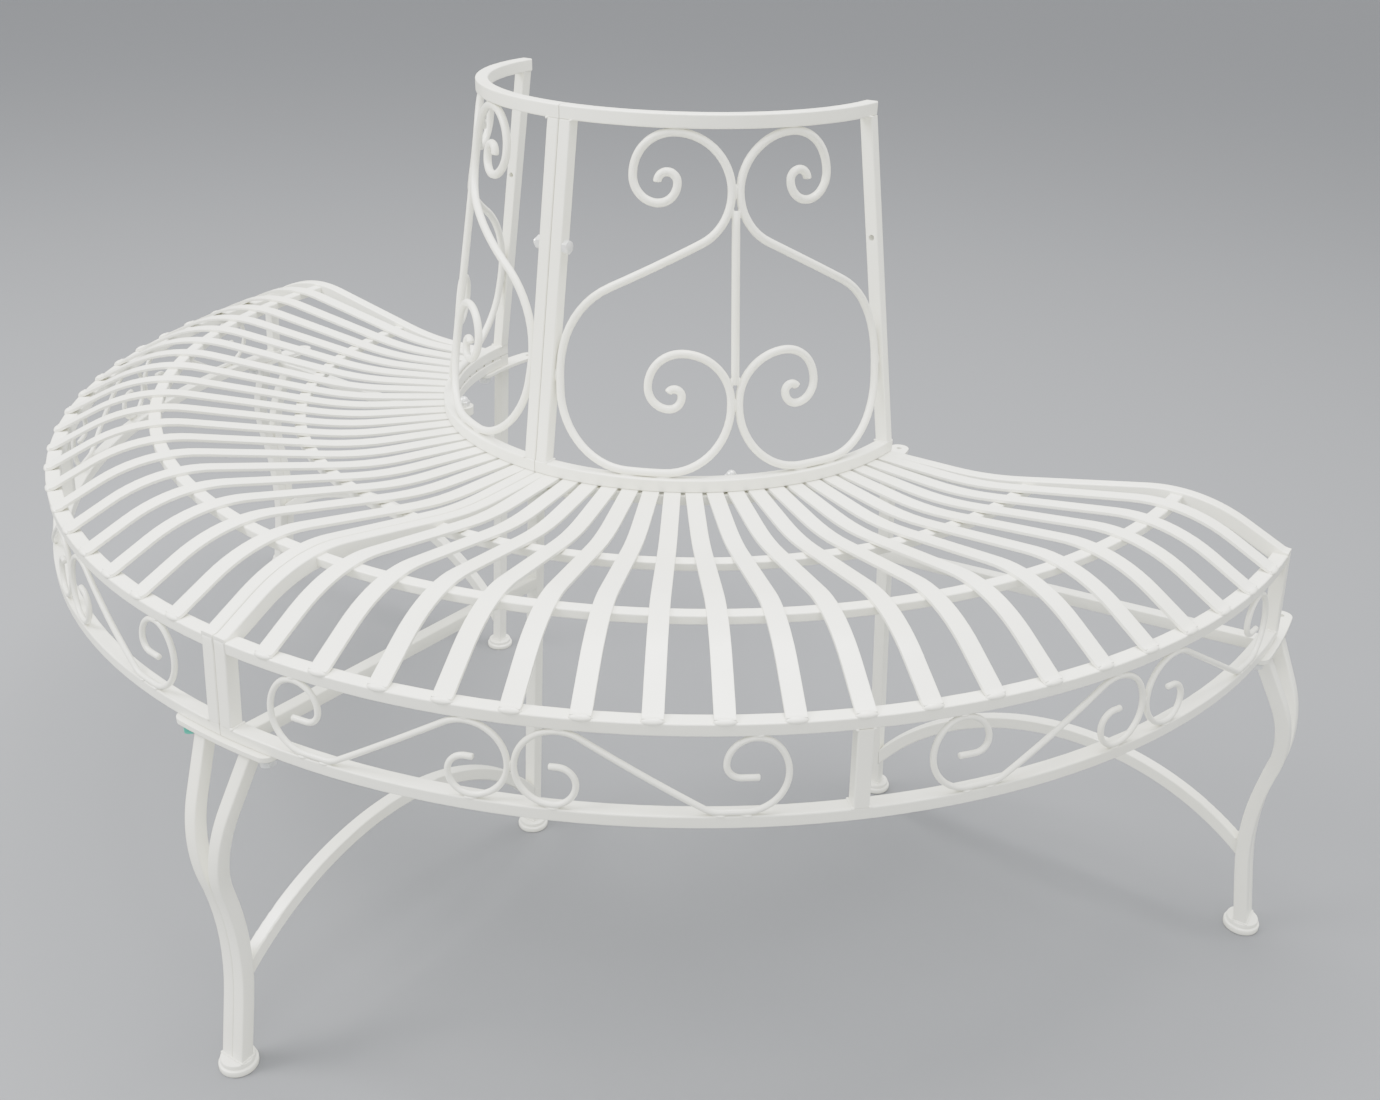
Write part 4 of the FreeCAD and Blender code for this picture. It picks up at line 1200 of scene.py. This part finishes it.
@dataclass
class CurvedSection:
    """One quarter of the ring: seat, apron and backrest.

    Attributes:
        side: Which section.
        bench: The ring and its packed sizes.
        slat_count: Number of slats.
        slat_bead: Half sizes of the beads at the slat ends.
        slat_bead_inset: Their middles behind the rim's face.
        slat_bead_lift: Their middles above the rim.
        bead_play: Middles of the posts' beads beside the posts.
        bead_end: Outer ends of the posts' beads behind the rim's face.
        half_turn: Half the section's turn, in degrees.
        nodes: Nodes that keep their solid's shape.
    """

    side: Side
    bench: PackedBench
    slat_count: int = 19
    slat_bead: tuple[float, float, float] = (0.01015, 0.0042, 0.0034)
    slat_bead_inset: float = 0.0026
    slat_bead_lift: float = 0.0002
    bead_play: float = 0.0004
    bead_end: float = 0.001
    half_turn: float = 45.0
    nodes: tuple[str, ...] = (
        "rim_upper", "rim_lower", "seat_inner_rail", "back_bottom_rail", "back_top_rail",
        "outer_bearer", "inner_bearer", "slats", "side_rail_seam", "side_rail_end",
        "back_post_seam", "back_post_end", "apron_posts", "mid_lugs",
    )

    def build(self, paint: bpy.types.Material) -> None:
        """Dress the nodes, make the scrolls and add the welds.

        Args:
            paint: The frame's paint.
        """
        for node in self.nodes:
            dress(f"{self.side.prefix}_{node}", paint)
        seams = WeldSeams(f"{self.side.prefix}_section_welds")
        BackPanel(self.side, self.bench).build(paint, seams)
        ApronScrolls(self.side, self.bench).build(paint, seams)
        self.slat_welds(seams)
        self.apron_post_welds(seams)
        self.back_post_welds(seams)
        seams.build(paint)

    def slat_welds(self, seams: WeldSeams) -> None:
        """Add the beads that blend the slat ends into the rim.

        Args:
            seams: Welds of the section.
        """
        rim = self.bench.upper_rim
        pitch = 2 * self.half_turn / (self.slat_count + 1)
        radius = rim.outer - self.slat_bead_inset
        for number in range(1, self.slat_count + 1):
            angle = self.side.value - self.half_turn + pitch * number
            place = self.bench.point(angle, radius, rim.top + self.slat_bead_lift)
            seams.add(place, self.bench.sideways(angle), UP, self.slat_bead)

    def apron_post_welds(self, seams: WeldSeams) -> None:
        """Add runs of weld at the ends of the apron posts.

        Args:
            seams: Welds of the section.
        """
        rim, lower_rim, tube = self.bench.upper_rim, self.bench.lower_rim, self.bench.tube
        middle = self.side.value
        lift = UP * (rim.under - lower_rim.top)
        for angle, shift, faces in (
            (middle, 0.0, (-1, 1)),
            (middle - self.half_turn, self.bench.inset - tube / 2, (1,)),
            (middle + self.half_turn, tube / 2 - self.bench.inset, (-1,)),
        ):
            back = self.bench.outward(angle) * (rim.outer - lower_rim.outer)
            for face in faces:
                along = shift + face * (tube / 2 + self.bead_play)
                inner, outer = (
                    self.bench.point(angle, lower_rim.outer - inset, lower_rim.top, along)
                    for inset in (tube, self.bead_end))
                seams.run(inner, outer, UP)
                if angle == middle:
                    seams.run(inner + lift + back, outer + lift + back, UP)

    def back_post_welds(self, seams: WeldSeams) -> None:
        """Add runs of weld at both ends of the backrest posts.

        Args:
            seams: Welds of the section.
        """
        half = self.bench.tube / 2
        for end in (-1, 1):
            angle = self.side.value + end * self.half_turn
            along = -end * (self.bench.inset + self.bead_play)
            for height in (self.bench.bottom_rail.top, self.bench.top_rail.under):
                radius = self.bench.back_cone.radius(height)
                inner, outer = (self.bench.point(angle, radius + depth, height, along)
                                for depth in (-half, half))
                seams.run(inner, outer, UP)


@dataclass(frozen=True)
class Foot:
    """Turned foot: a flange under a collar, with broken edges.

    Attributes:
        place: Radius about the ring's axis at which it stands.
        flange: Radius of its flange.
        tier: Share of its height that the flange takes.
        ledge: Width of the flange beyond the collar.
        under: Break of the flange's lower edge.
        edge: Break of the upper edges.
        bulge: Middle of a broken edge from the faces beside it.
        flank: Break of the flange's upper edge down its side.
        fillet: Height of the fillet between flange and collar.
    """

    place: float
    flange: float
    tier: float = 0.55
    ledge: float = 0.0022
    under: float = 0.0012
    edge: float = 0.0013
    bulge: float = 0.0004
    flank: float = 0.0014
    fillet: float = 0.0008

    def make(self, mesh: bmesh.types.BMesh, place: Matrix, height: float) -> None:
        """Add the foot to a mesh.

        Args:
            mesh: The mesh.
            place: Where it stands.
            height: Its height.
        """
        flange, edge, bulge = self.flange, self.edge, self.bulge
        collar = flange - self.ledge
        tier = height * self.tier
        Turning((
            (0.0, 0.0), (flange - self.under, 0.0), (flange - bulge, bulge), (flange, self.under),
            (flange, tier - self.flank), (flange - bulge, tier - bulge), (flange - edge, tier),
            (collar, tier + self.fillet), (collar, height - edge),
            (collar - bulge, height - bulge), (collar - edge, height), (0.0, height),
        )).make(mesh, place)


@dataclass
class LegFrame:
    """One leg frame below the ring.

    Attributes:
        stand: Which frame.
        bench: The ring and its packed sizes.
        outer_foot: Foot of the pair of outer tubes.
        inner_foot: Foot of the inner leg.
        outer_head: Radius of the outer tubes' heads.
        inner_head: Radius of the inner leg's head.
        knee: Radius and height of the outer tubes' upper and lower bends.
        bends: Radii of these bends.
        join: Height below which the outer tubes lie side by side, and half their gap.
        blend: Height over which they begin to part.
        spread: Tangential offset of the outer tubes at the plate.
        outer_tube: Side of an outer tube.
        stay: Radius of the stay bar's outer end, and radius and top of its inner end.
        foot_bead_lift: Middles of the feet's beads above the feet.
        beads: Half widths of the beads round a tube's end and along the brace.
        brace_beads: Radius and height of the runs of weld at the brace's ends.
        brace_bead_inset: Their ends from the brace's sides.
        nodes: Nodes that keep their solid's shape.
    """

    stand: Stand
    bench: PackedBench
    outer_foot: Foot = Foot(0.770, 0.0190)
    inner_foot: Foot = Foot(0.311, 0.0175)
    outer_head: float = 0.727
    inner_head: float = 0.288
    knee: tuple[tuple[float, float], tuple[float, float]] = ((0.7745, 0.262), (0.747, 0.145))
    bends: tuple[float, float] = (0.135, 0.330)
    join: tuple[float, float] = (0.205, 0.00003)
    blend: float = 0.020
    spread: float = 0.0300
    outer_tube: float = 0.014
    stay: tuple[float, tuple[float, float]] = (0.7235, (0.3000, 0.3384))
    foot_bead_lift: float = 0.0003
    beads: tuple[float, float] = (0.0013, 0.0014)
    brace_beads: tuple[tuple[float, float], ...] = (
        (0.7478, 0.0975), (0.7440, 0.1145), (0.3085, 0.0540))
    brace_bead_inset: float = 0.001
    nodes: tuple[str, ...] = ("plates", "inner_leg", "arch_brace")

    def build(self, paint: bpy.types.Material) -> None:
        """Dress the nodes, make the other pieces and add the welds.

        Args:
            paint: The frame's paint.
        """
        for node in self.nodes:
            dress(f"{self.stand.prefix}_{node}", paint)
        self.feet(paint)
        self.outer_tubes(paint)
        self.stay_bar(paint)
        seams = WeldSeams(f"{self.stand.prefix}_frame_welds")
        self.tube_welds(seams)
        self.brace_welds(seams)
        seams.build(paint)

    def feet(self, paint: bpy.types.Material) -> None:
        """Make both feet.

        Args:
            paint: The frame's paint.
        """
        mesh = bmesh.new()
        for foot, height in zip((self.outer_foot, self.inner_foot), self.bench.feet):
            spot = self.bench.point(self.stand.value, foot.place, 0.0)
            foot.make(mesh, Matrix.Translation(spot), height)
        name = f"{self.stand.prefix}_feet"
        add_piece(f"{name}_cups", mesh, paint, name, Sharp.TURNINGS)

    def tube_offset(self, height: float) -> float:
        """Tangential offset of an outer tube at a height.

        Args:
            height: Height above the ground.

        Returns:
            The offset of its middle.
        """
        join, half_gap = self.join
        rest = self.outer_tube / 2 + half_gap
        slope = (self.spread - rest) / (self.bench.plates[0] - join - self.blend / 2)
        above = height - join
        if above <= 0:
            return rest
        if above <= self.blend:
            return rest + slope * above ** 2 / (2 * self.blend)
        return rest + slope * (above - self.blend / 2)

    def outer_tubes(self, paint: bpy.types.Material) -> None:
        """Make the pair of bent tubes from the foot to the plate.

        Args:
            paint: The frame's paint.
        """
        angle = self.stand.value
        out = self.bench.outward(angle)
        head = (self.outer_head, self.bench.plates[0])
        base = (self.outer_foot.place, self.bench.feet[0])
        chain = RoundedChain((head, *self.knee, base), self.bends).stations()
        mesh = bmesh.new()
        for side in (-1, 1):
            stations = []
            for number, (spot, way) in enumerate(chain):
                offset = side * self.tube_offset(spot.y)
                place = self.bench.point(angle, spot.x, spot.y, offset)
                deep = out * -way.y + UP * way.x
                if number in (0, len(chain) - 1):
                    deep = out / abs(way.y)
                stations.append((place, self.bench.sideways(angle), deep))
            SquareTube(self.outer_tube, self.outer_tube).sweep(mesh, stations)
        name = f"{self.stand.prefix}_outer_leg"
        add_piece(f"{name}_tubes", mesh, paint, name, Sharp.RODS)

    def stay_bar(self, paint: bpy.types.Material) -> None:
        """Make the square bar from under the outer plate down to the inner leg.

        Args:
            paint: The frame's paint.
        """
        angle = self.stand.value
        tube = self.bench.tube
        outer, inner = self.stay
        stations = [
            (self.bench.point(angle, radius, top - tube / 2), self.bench.sideways(angle), UP)
            for radius, top in ((outer, self.bench.plates[0]), inner)
        ]
        mesh = bmesh.new()
        SquareTube(tube, tube).sweep(mesh, stations)
        name = f"{self.stand.prefix}_stay_bar"
        add_piece(f"{name}_tube", mesh, paint, name, Sharp.RODS)

    def tube_welds(self, seams: WeldSeams) -> None:
        """Add the welds round the tubes' ends at the plates and on the feet.

        Args:
            seams: Welds of the frame.
        """
        outer_plate, inner_plate = self.bench.plates
        outer_foot, inner_foot = (top + self.foot_bead_lift for top in self.bench.feet)
        half = self.bench.tube / 2
        leg = self.outer_tube / 2
        for side in (-1, 1):
            self.box_weld(seams, self.outer_head, outer_plate, side * self.spread, (leg, leg))
            self.box_weld(seams, self.outer_foot.place, outer_foot, side * leg, (leg, half))
        self.box_weld(seams, self.inner_head, inner_plate, 0.0, (half, half))
        self.box_weld(seams, self.inner_foot.place, inner_foot, 0.0, (half, half))

    def box_weld(self, seams: WeldSeams, radius: float, height: float, shift: float,
                 half: tuple[float, float]) -> None:
        """Add a weld round the end of a tube.

        Args:
            seams: Welds of the frame.
            radius: Radius of the tube's middle.
            height: Height of its end.
            shift: Its tangential offset.
            half: Half its tangential and radial size.
        """
        spots = [
            self.bench.point(self.stand.value, radius + out * half[1], height,
                             shift + across * half[0])
            for across, out in ((-1, -1), (1, -1), (1, 1), (-1, 1))
        ]
        for spot, after in zip(spots, spots[1:] + spots[:1]):
            seams.run(spot, after, UP, self.beads[0])

    def brace_welds(self, seams: WeldSeams) -> None:
        """Add runs of weld where the arched brace meets both legs.

        Args:
            seams: Welds of the frame.
        """
        half = self.bench.tube / 2 - self.brace_bead_inset
        for radius, height in self.brace_beads:
            first, last = (self.bench.point(self.stand.value, radius, height, along)
                           for along in (-half, half))
            seams.run(first, last, UP, self.beads[1])


@dataclass(frozen=True)
class Washer:
    """Flat washer on a local z = 0.

    Attributes:
        radius: Its radius.
        thick: Its thickness.
        edge: Break of its edges.
    """

    radius: float = 0.008
    thick: float = 0.0015
    edge: float = 0.0003

    def make(self, mesh: bmesh.types.BMesh, place: Matrix) -> None:
        """Add the washer to a mesh.

        Args:
            mesh: The mesh.
            place: Where it lies.
        """
        radius, thick, edge = self.radius, self.thick, self.edge
        Turning((
            (0.0, 0.0), (radius - edge, 0.0), (radius, edge), (radius, thick - edge),
            (radius - edge, thick), (0.0, thick),
        )).make(mesh, place)


@dataclass(frozen=True)
class SpringWasher:
    """Split spring washer on a local z = 0.

    Attributes:
        radius: Its outer radius.
        thick: Its thickness over the step at the split.
        width: Width of its wire.
        gap: Half its split, in degrees.
        rise: Share of the thickness by which one end stands higher.
        steps: Straights round it.
    """

    radius: float = 0.0066
    thick: float = 0.0018
    width: float = 0.0025
    gap: float = 4.0
    rise: float = 0.12
    steps: int = 36

    def make(self, mesh: bmesh.types.BMesh, place: Matrix) -> None:
        """Add the spring washer to a mesh.

        Args:
            mesh: The mesh.
            place: Where it lies.
        """
        gap = math.radians(self.gap)
        rings = []
        for step in range(self.steps + 1):
            share = step / self.steps
            turn = gap + 2 * (math.pi - gap) * share
            way = Vector((math.cos(turn), math.sin(turn), 0.0))
            low = UP * (self.thick * self.rise * share)
            high = UP * (self.thick * (1.0 - self.rise + self.rise * share))
            inner = way * (self.radius - self.width)
            outer = way * self.radius
            rings.append([mesh.verts.new(place @ spot) for spot in (
                inner + low, outer + low, outer + high, inner + high)])
        skin(mesh, rings, capped=True)


@dataclass(frozen=True)
class CapNut:
    """Domed nut on a local z = 0.

    Attributes:
        height: Height of its hexagon.
        dome: Radius of its dome.
        sunk: Depth of the dome's middle and of its skirt in the hexagon.
        steps: Straights up the dome.
    """

    height: float = 0.0064
    dome: float = 0.0056
    sunk: tuple[float, float] = (0.0004, 0.001)
    steps: int = 8

    def make(self, mesh: bmesh.types.BMesh, place: Matrix) -> None:
        """Add the nut to a mesh.

        Args:
            mesh: The mesh.
            place: Where its seat is.
        """
        Hexagon(height=self.height).make(mesh, place, both=True)
        middle = self.height - self.sunk[0]
        turns = [QUARTER * step / self.steps for step in range(self.steps)]
        rings = [(self.dome * math.cos(turn), middle + self.dome * math.sin(turn)) for turn in turns]
        skirt = (self.dome, self.height - self.sunk[1])
        Turning((skirt, *rings, (0.0, middle + self.dome))).make(mesh, place)


@dataclass
class Fasteners:
    """Bolts, washers and nuts.

    Attributes:
        bench: The ring and its packed sizes.
        outer_hole: Radius and tangential offset of the outer plates' holes.
        inner_hole: Radius and tangential offset of the inner plates' holes.
        green_height: Height of the head with the green finish.
        lug_hole: Radius of the middle lugs' holes about the ring's axis.
        seam_height: Height of the bolt through the seam posts.
        seam_hexagon: Height of its head and of its nut.
        shank: Radius of its shank.
        thread: Radius of its thread, length beyond the nut's seat, and break of its tip.
    """

    bench: PackedBench
    outer_hole: tuple[float, float] = (0.731, 0.050)
    inner_hole: tuple[float, float] = (0.283, 0.045)
    green_height: float = 0.0085
    lug_hole: float = 0.267
    seam_height: float = 0.704
    seam_hexagon: float = 0.0058
    shank: float = 0.003
    thread: tuple[float, float, float] = (0.004, 0.0096, 0.0008)

    def build(self, zinc: bpy.types.Material, green: bpy.types.Material) -> None:
        """Make all the fasteners.

        Args:
            zinc: Material of nearly all of them.
            green: Material of the one bolt with another finish.
        """
        self.leg_fasteners(zinc, green)
        self.lug_fasteners(zinc)
        self.seam_fasteners(zinc)

    def leg_fasteners(self, zinc: bpy.types.Material, green: bpy.types.Material) -> None:
        """Make the bolts and washers under the plates.

        Args:
            zinc: Material of nearly all of them.
            green: Material of the outer bolt on the left of the seam.
        """
        bolts = bmesh.new()
        washers = bmesh.new()
        odd_bolt = bmesh.new()
        flat, spring = Washer(), SpringWasher()
        for stand in Stand:
            for side in stand.bolted_sides:
                for hole, height in zip((self.outer_hole, self.inner_hole), self.bench.plates):
                    radius, offset = hole
                    out = math.sqrt(radius ** 2 - offset ** 2)
                    spot = self.bench.point(stand.value, out, height, side * offset)
                    odd = hole is self.outer_hole and stand is Stand.SEAM and side == -1
                    rings = odd_bolt if odd else washers
                    head = Hexagon(height=self.green_height) if odd else Hexagon()
                    depth = 0.0
                    flat.make(rings, self.below(spot, depth))
                    depth += flat.thick
                    spring.make(rings, self.below(spot, depth))
                    depth += spring.thick
                    head.make(odd_bolt if odd else bolts, self.below(spot, depth))
        add_piece("leg_bolt_heads", bolts, zinc, "leg_bolts", Sharp.TURNINGS)
        add_piece("leg_bolt_head_green", odd_bolt, green, None, Sharp.TURNINGS)
        add_piece("leg_washer_rings", washers, zinc, "leg_washers", Sharp.TURNINGS)

    @staticmethod
    def below(spot: Vector, depth: float) -> Matrix:
        """Place of a fastener that hangs at a depth below a point."""
        return Matrix.Translation(spot - UP * depth) @ UPSIDE_DOWN

    def lug_fasteners(self, zinc: bpy.types.Material) -> None:
        """Make the bolts and domed nuts of the middle lugs.

        Args:
            zinc: Their material.
        """
        bolts = bmesh.new()
        nuts = bmesh.new()
        for side in Side:
            under, top = (self.bench.point(side.value, self.lug_hole, z) for z in self.bench.lugs)
            Hexagon().make(bolts, self.below(under, 0.0))
            CapNut().make(nuts, Matrix.Translation(top))
        add_piece("lug_bolt_heads", bolts, zinc, "lug_bolts", Sharp.TURNINGS)
        add_piece("lug_cap_nuts", nuts, zinc, "lug_nuts", Sharp.TURNINGS)

    def seam_fasteners(self, zinc: bpy.types.Material) -> None:
        """Make the bolt head and the nut on the seam posts.

        Args:
            zinc: Their material.
        """
        half = self.bench.inset
        radius = self.bench.back_cone.radius(self.seam_height)
        middle = self.bench.point(Stand.SEAM.value, radius, self.seam_height)
        bolt = bmesh.new()
        nut = bmesh.new()
        for mesh, sign in ((bolt, 1.0), (nut, -1.0)):
            seat = Matrix.Translation(middle + Vector((sign * half, 0.0, 0.0)))
            turned = seat @ Matrix.Rotation(sign * QUARTER, 4, "Y") @ Matrix.Rotation(QUARTER, 4, "Z")
            Hexagon(height=self.seam_hexagon).make(mesh, turned, both=mesh is nut)
            shank = self.shank
            Turning(((0.0, -half), (shank, -half), (shank, 0.0), (0.0, 0.0))).make(mesh, turned)
            if mesh is nut:
                thread, end, tip = self.thread
                Turning((
                    (0.0, 0.0), (thread, 0.0), (thread, end - tip), (thread - tip, end), (0.0, end),
                )).make(mesh, turned)
        add_piece("seam_bolt_head", bolt, zinc, "seam_bolt", Sharp.TURNINGS)
        add_piece("seam_hex_nut", nut, zinc, "seam_nut", Sharp.TURNINGS)


@dataclass
class Studio:
    """Pale floor, soft lights and the camera.

    Attributes:
        space: Places about the ring's axis.
        azimuth: Camera's direction round the bench in degrees.
        elevation: Camera's height above the horizon in degrees.
        roll: Camera's tilt in degrees.
        lens: Focal length in millimetres.
        sensor: Width of the sensor in millimetres.
        eye: Camera's place from the ring's axis.
        floor_size: Half the floor's side.
        floor_cells: Its cells each way.
        floor_colour: Linear colour of the floor.
        floor_roughness: Its roughness.
        sky_colour: Linear colour of the sky.
        sky_strength: Its brightness.
        aim: Point at which the lights aim.
        lamps: Name, place, diameter and power of each light.
    """

    space: RingSpace
    azimuth: float = 32.172
    elevation: float = 26.61
    roll: float = 1.601
    lens: float = 36.82
    sensor: float = 36.0
    eye: tuple[float, float, float] = (0.8968, -1.3936, 1.0795)
    floor_size: float = 60.0
    floor_cells: int = 8
    floor_colour: tuple[float, float, float] = (0.165, 0.17, 0.178)
    floor_roughness: float = 0.95
    sky_colour: tuple[float, float, float] = (0.97, 0.98, 1.0)
    sky_strength: float = 1.55
    aim: tuple[float, float, float] = (0.0, 0.0, 0.4)
    lamps: tuple[tuple[str, tuple[float, float, float], float, float], ...] = (
        ("key", (-2.2, -2.0, 3.4), 2.0, 300.0),
        ("fill", (2.6, -3.0, 1.8), 2.4, 55.0),
        ("top", (0.2, 0.5, 3.8), 2.4, 290.0),
    )

    def build(self) -> None:
        """Make everything round the bench."""
        self.floor()
        self.lights()
        self.camera()

    def floor(self) -> None:
        """Lay a plain pale floor."""
        mesh = bmesh.new()
        cells = self.floor_cells
        bmesh.ops.create_grid(mesh, x_segments=cells, y_segments=cells, size=self.floor_size)
        data = bpy.data.meshes.new("floor")
        mesh.to_mesh(data)
        mesh.free()
        made, shader = new_material("floor_pale")
        shader.inputs["Base Color"].default_value = (*self.floor_colour, 1.0)
        shader.inputs["Roughness"].default_value = self.floor_roughness
        data.materials.append(made)
        ground = bpy.data.objects.new("floor", data)
        bpy.context.scene.collection.objects.link(ground)

    def lights(self) -> None:
        """Hang large soft lights and fill with a pale sky."""
        world = bpy.data.worlds.new("studio")
        world.use_nodes = True
        sky = world.node_tree.nodes["Background"]
        sky.inputs["Color"].default_value = (*self.sky_colour, 1.0)
        sky.inputs["Strength"].default_value = self.sky_strength
        bpy.context.scene.world = world
        for name, place, size, power in self.lamps:
            lamp = bpy.data.lights.new(name, "AREA")
            lamp.shape = "DISK"
            lamp.size = size
            lamp.energy = power
            holder = bpy.data.objects.new(name, lamp)
            holder.location = place
            aim = (Vector(self.aim) - Vector(place)).normalized()
            holder.rotation_mode = "QUATERNION"
            holder.rotation_quaternion = aim.to_track_quat("-Z", "Y")
            bpy.context.scene.collection.objects.link(holder)

    def camera(self) -> None:
        """Set the camera at the photograph's viewing angle."""
        turn, rise, tilt = map(math.radians, (self.azimuth, self.elevation, self.roll))
        back = Vector((math.sin(turn) * math.cos(rise), -math.cos(turn) * math.cos(rise),
                       math.sin(rise)))
        level = Vector((math.cos(turn), math.sin(turn), 0.0))
        up = back.cross(level)
        right = math.cos(tilt) * level + math.sin(tilt) * up
        top = -math.sin(tilt) * level + math.cos(tilt) * up
        data = bpy.data.cameras.new("camera")
        data.sensor_width = self.sensor
        data.lens = self.lens
        holder = bpy.data.objects.new("camera", data)
        holder.rotation_mode = "QUATERNION"
        holder.rotation_quaternion = Matrix((right, top, back)).transposed().to_quaternion()
        holder.location = Vector(self.eye) + Vector((0.0, self.space.centre_y, 0.0))
        bpy.context.scene.collection.objects.link(holder)
        bpy.context.scene.camera = holder


def main() -> None:
    """Build the bench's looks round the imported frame."""
    logging.basicConfig(level=logging.INFO, format="%(message)s")
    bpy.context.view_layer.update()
    bench = PackedBench.measured()
    paint = PowderCoat().material()
    for side in Side:
        CurvedSection(side, bench).build(paint)
    for stand in Stand:
        LegFrame(stand, bench).build(paint)
    zinc = ZincPlate(Plating.CLEAR).material()
    Fasteners(bench).build(zinc, ZincPlate(Plating.GREEN).material())
    Studio(bench).build()


if __name__ == "__main__":
    main()
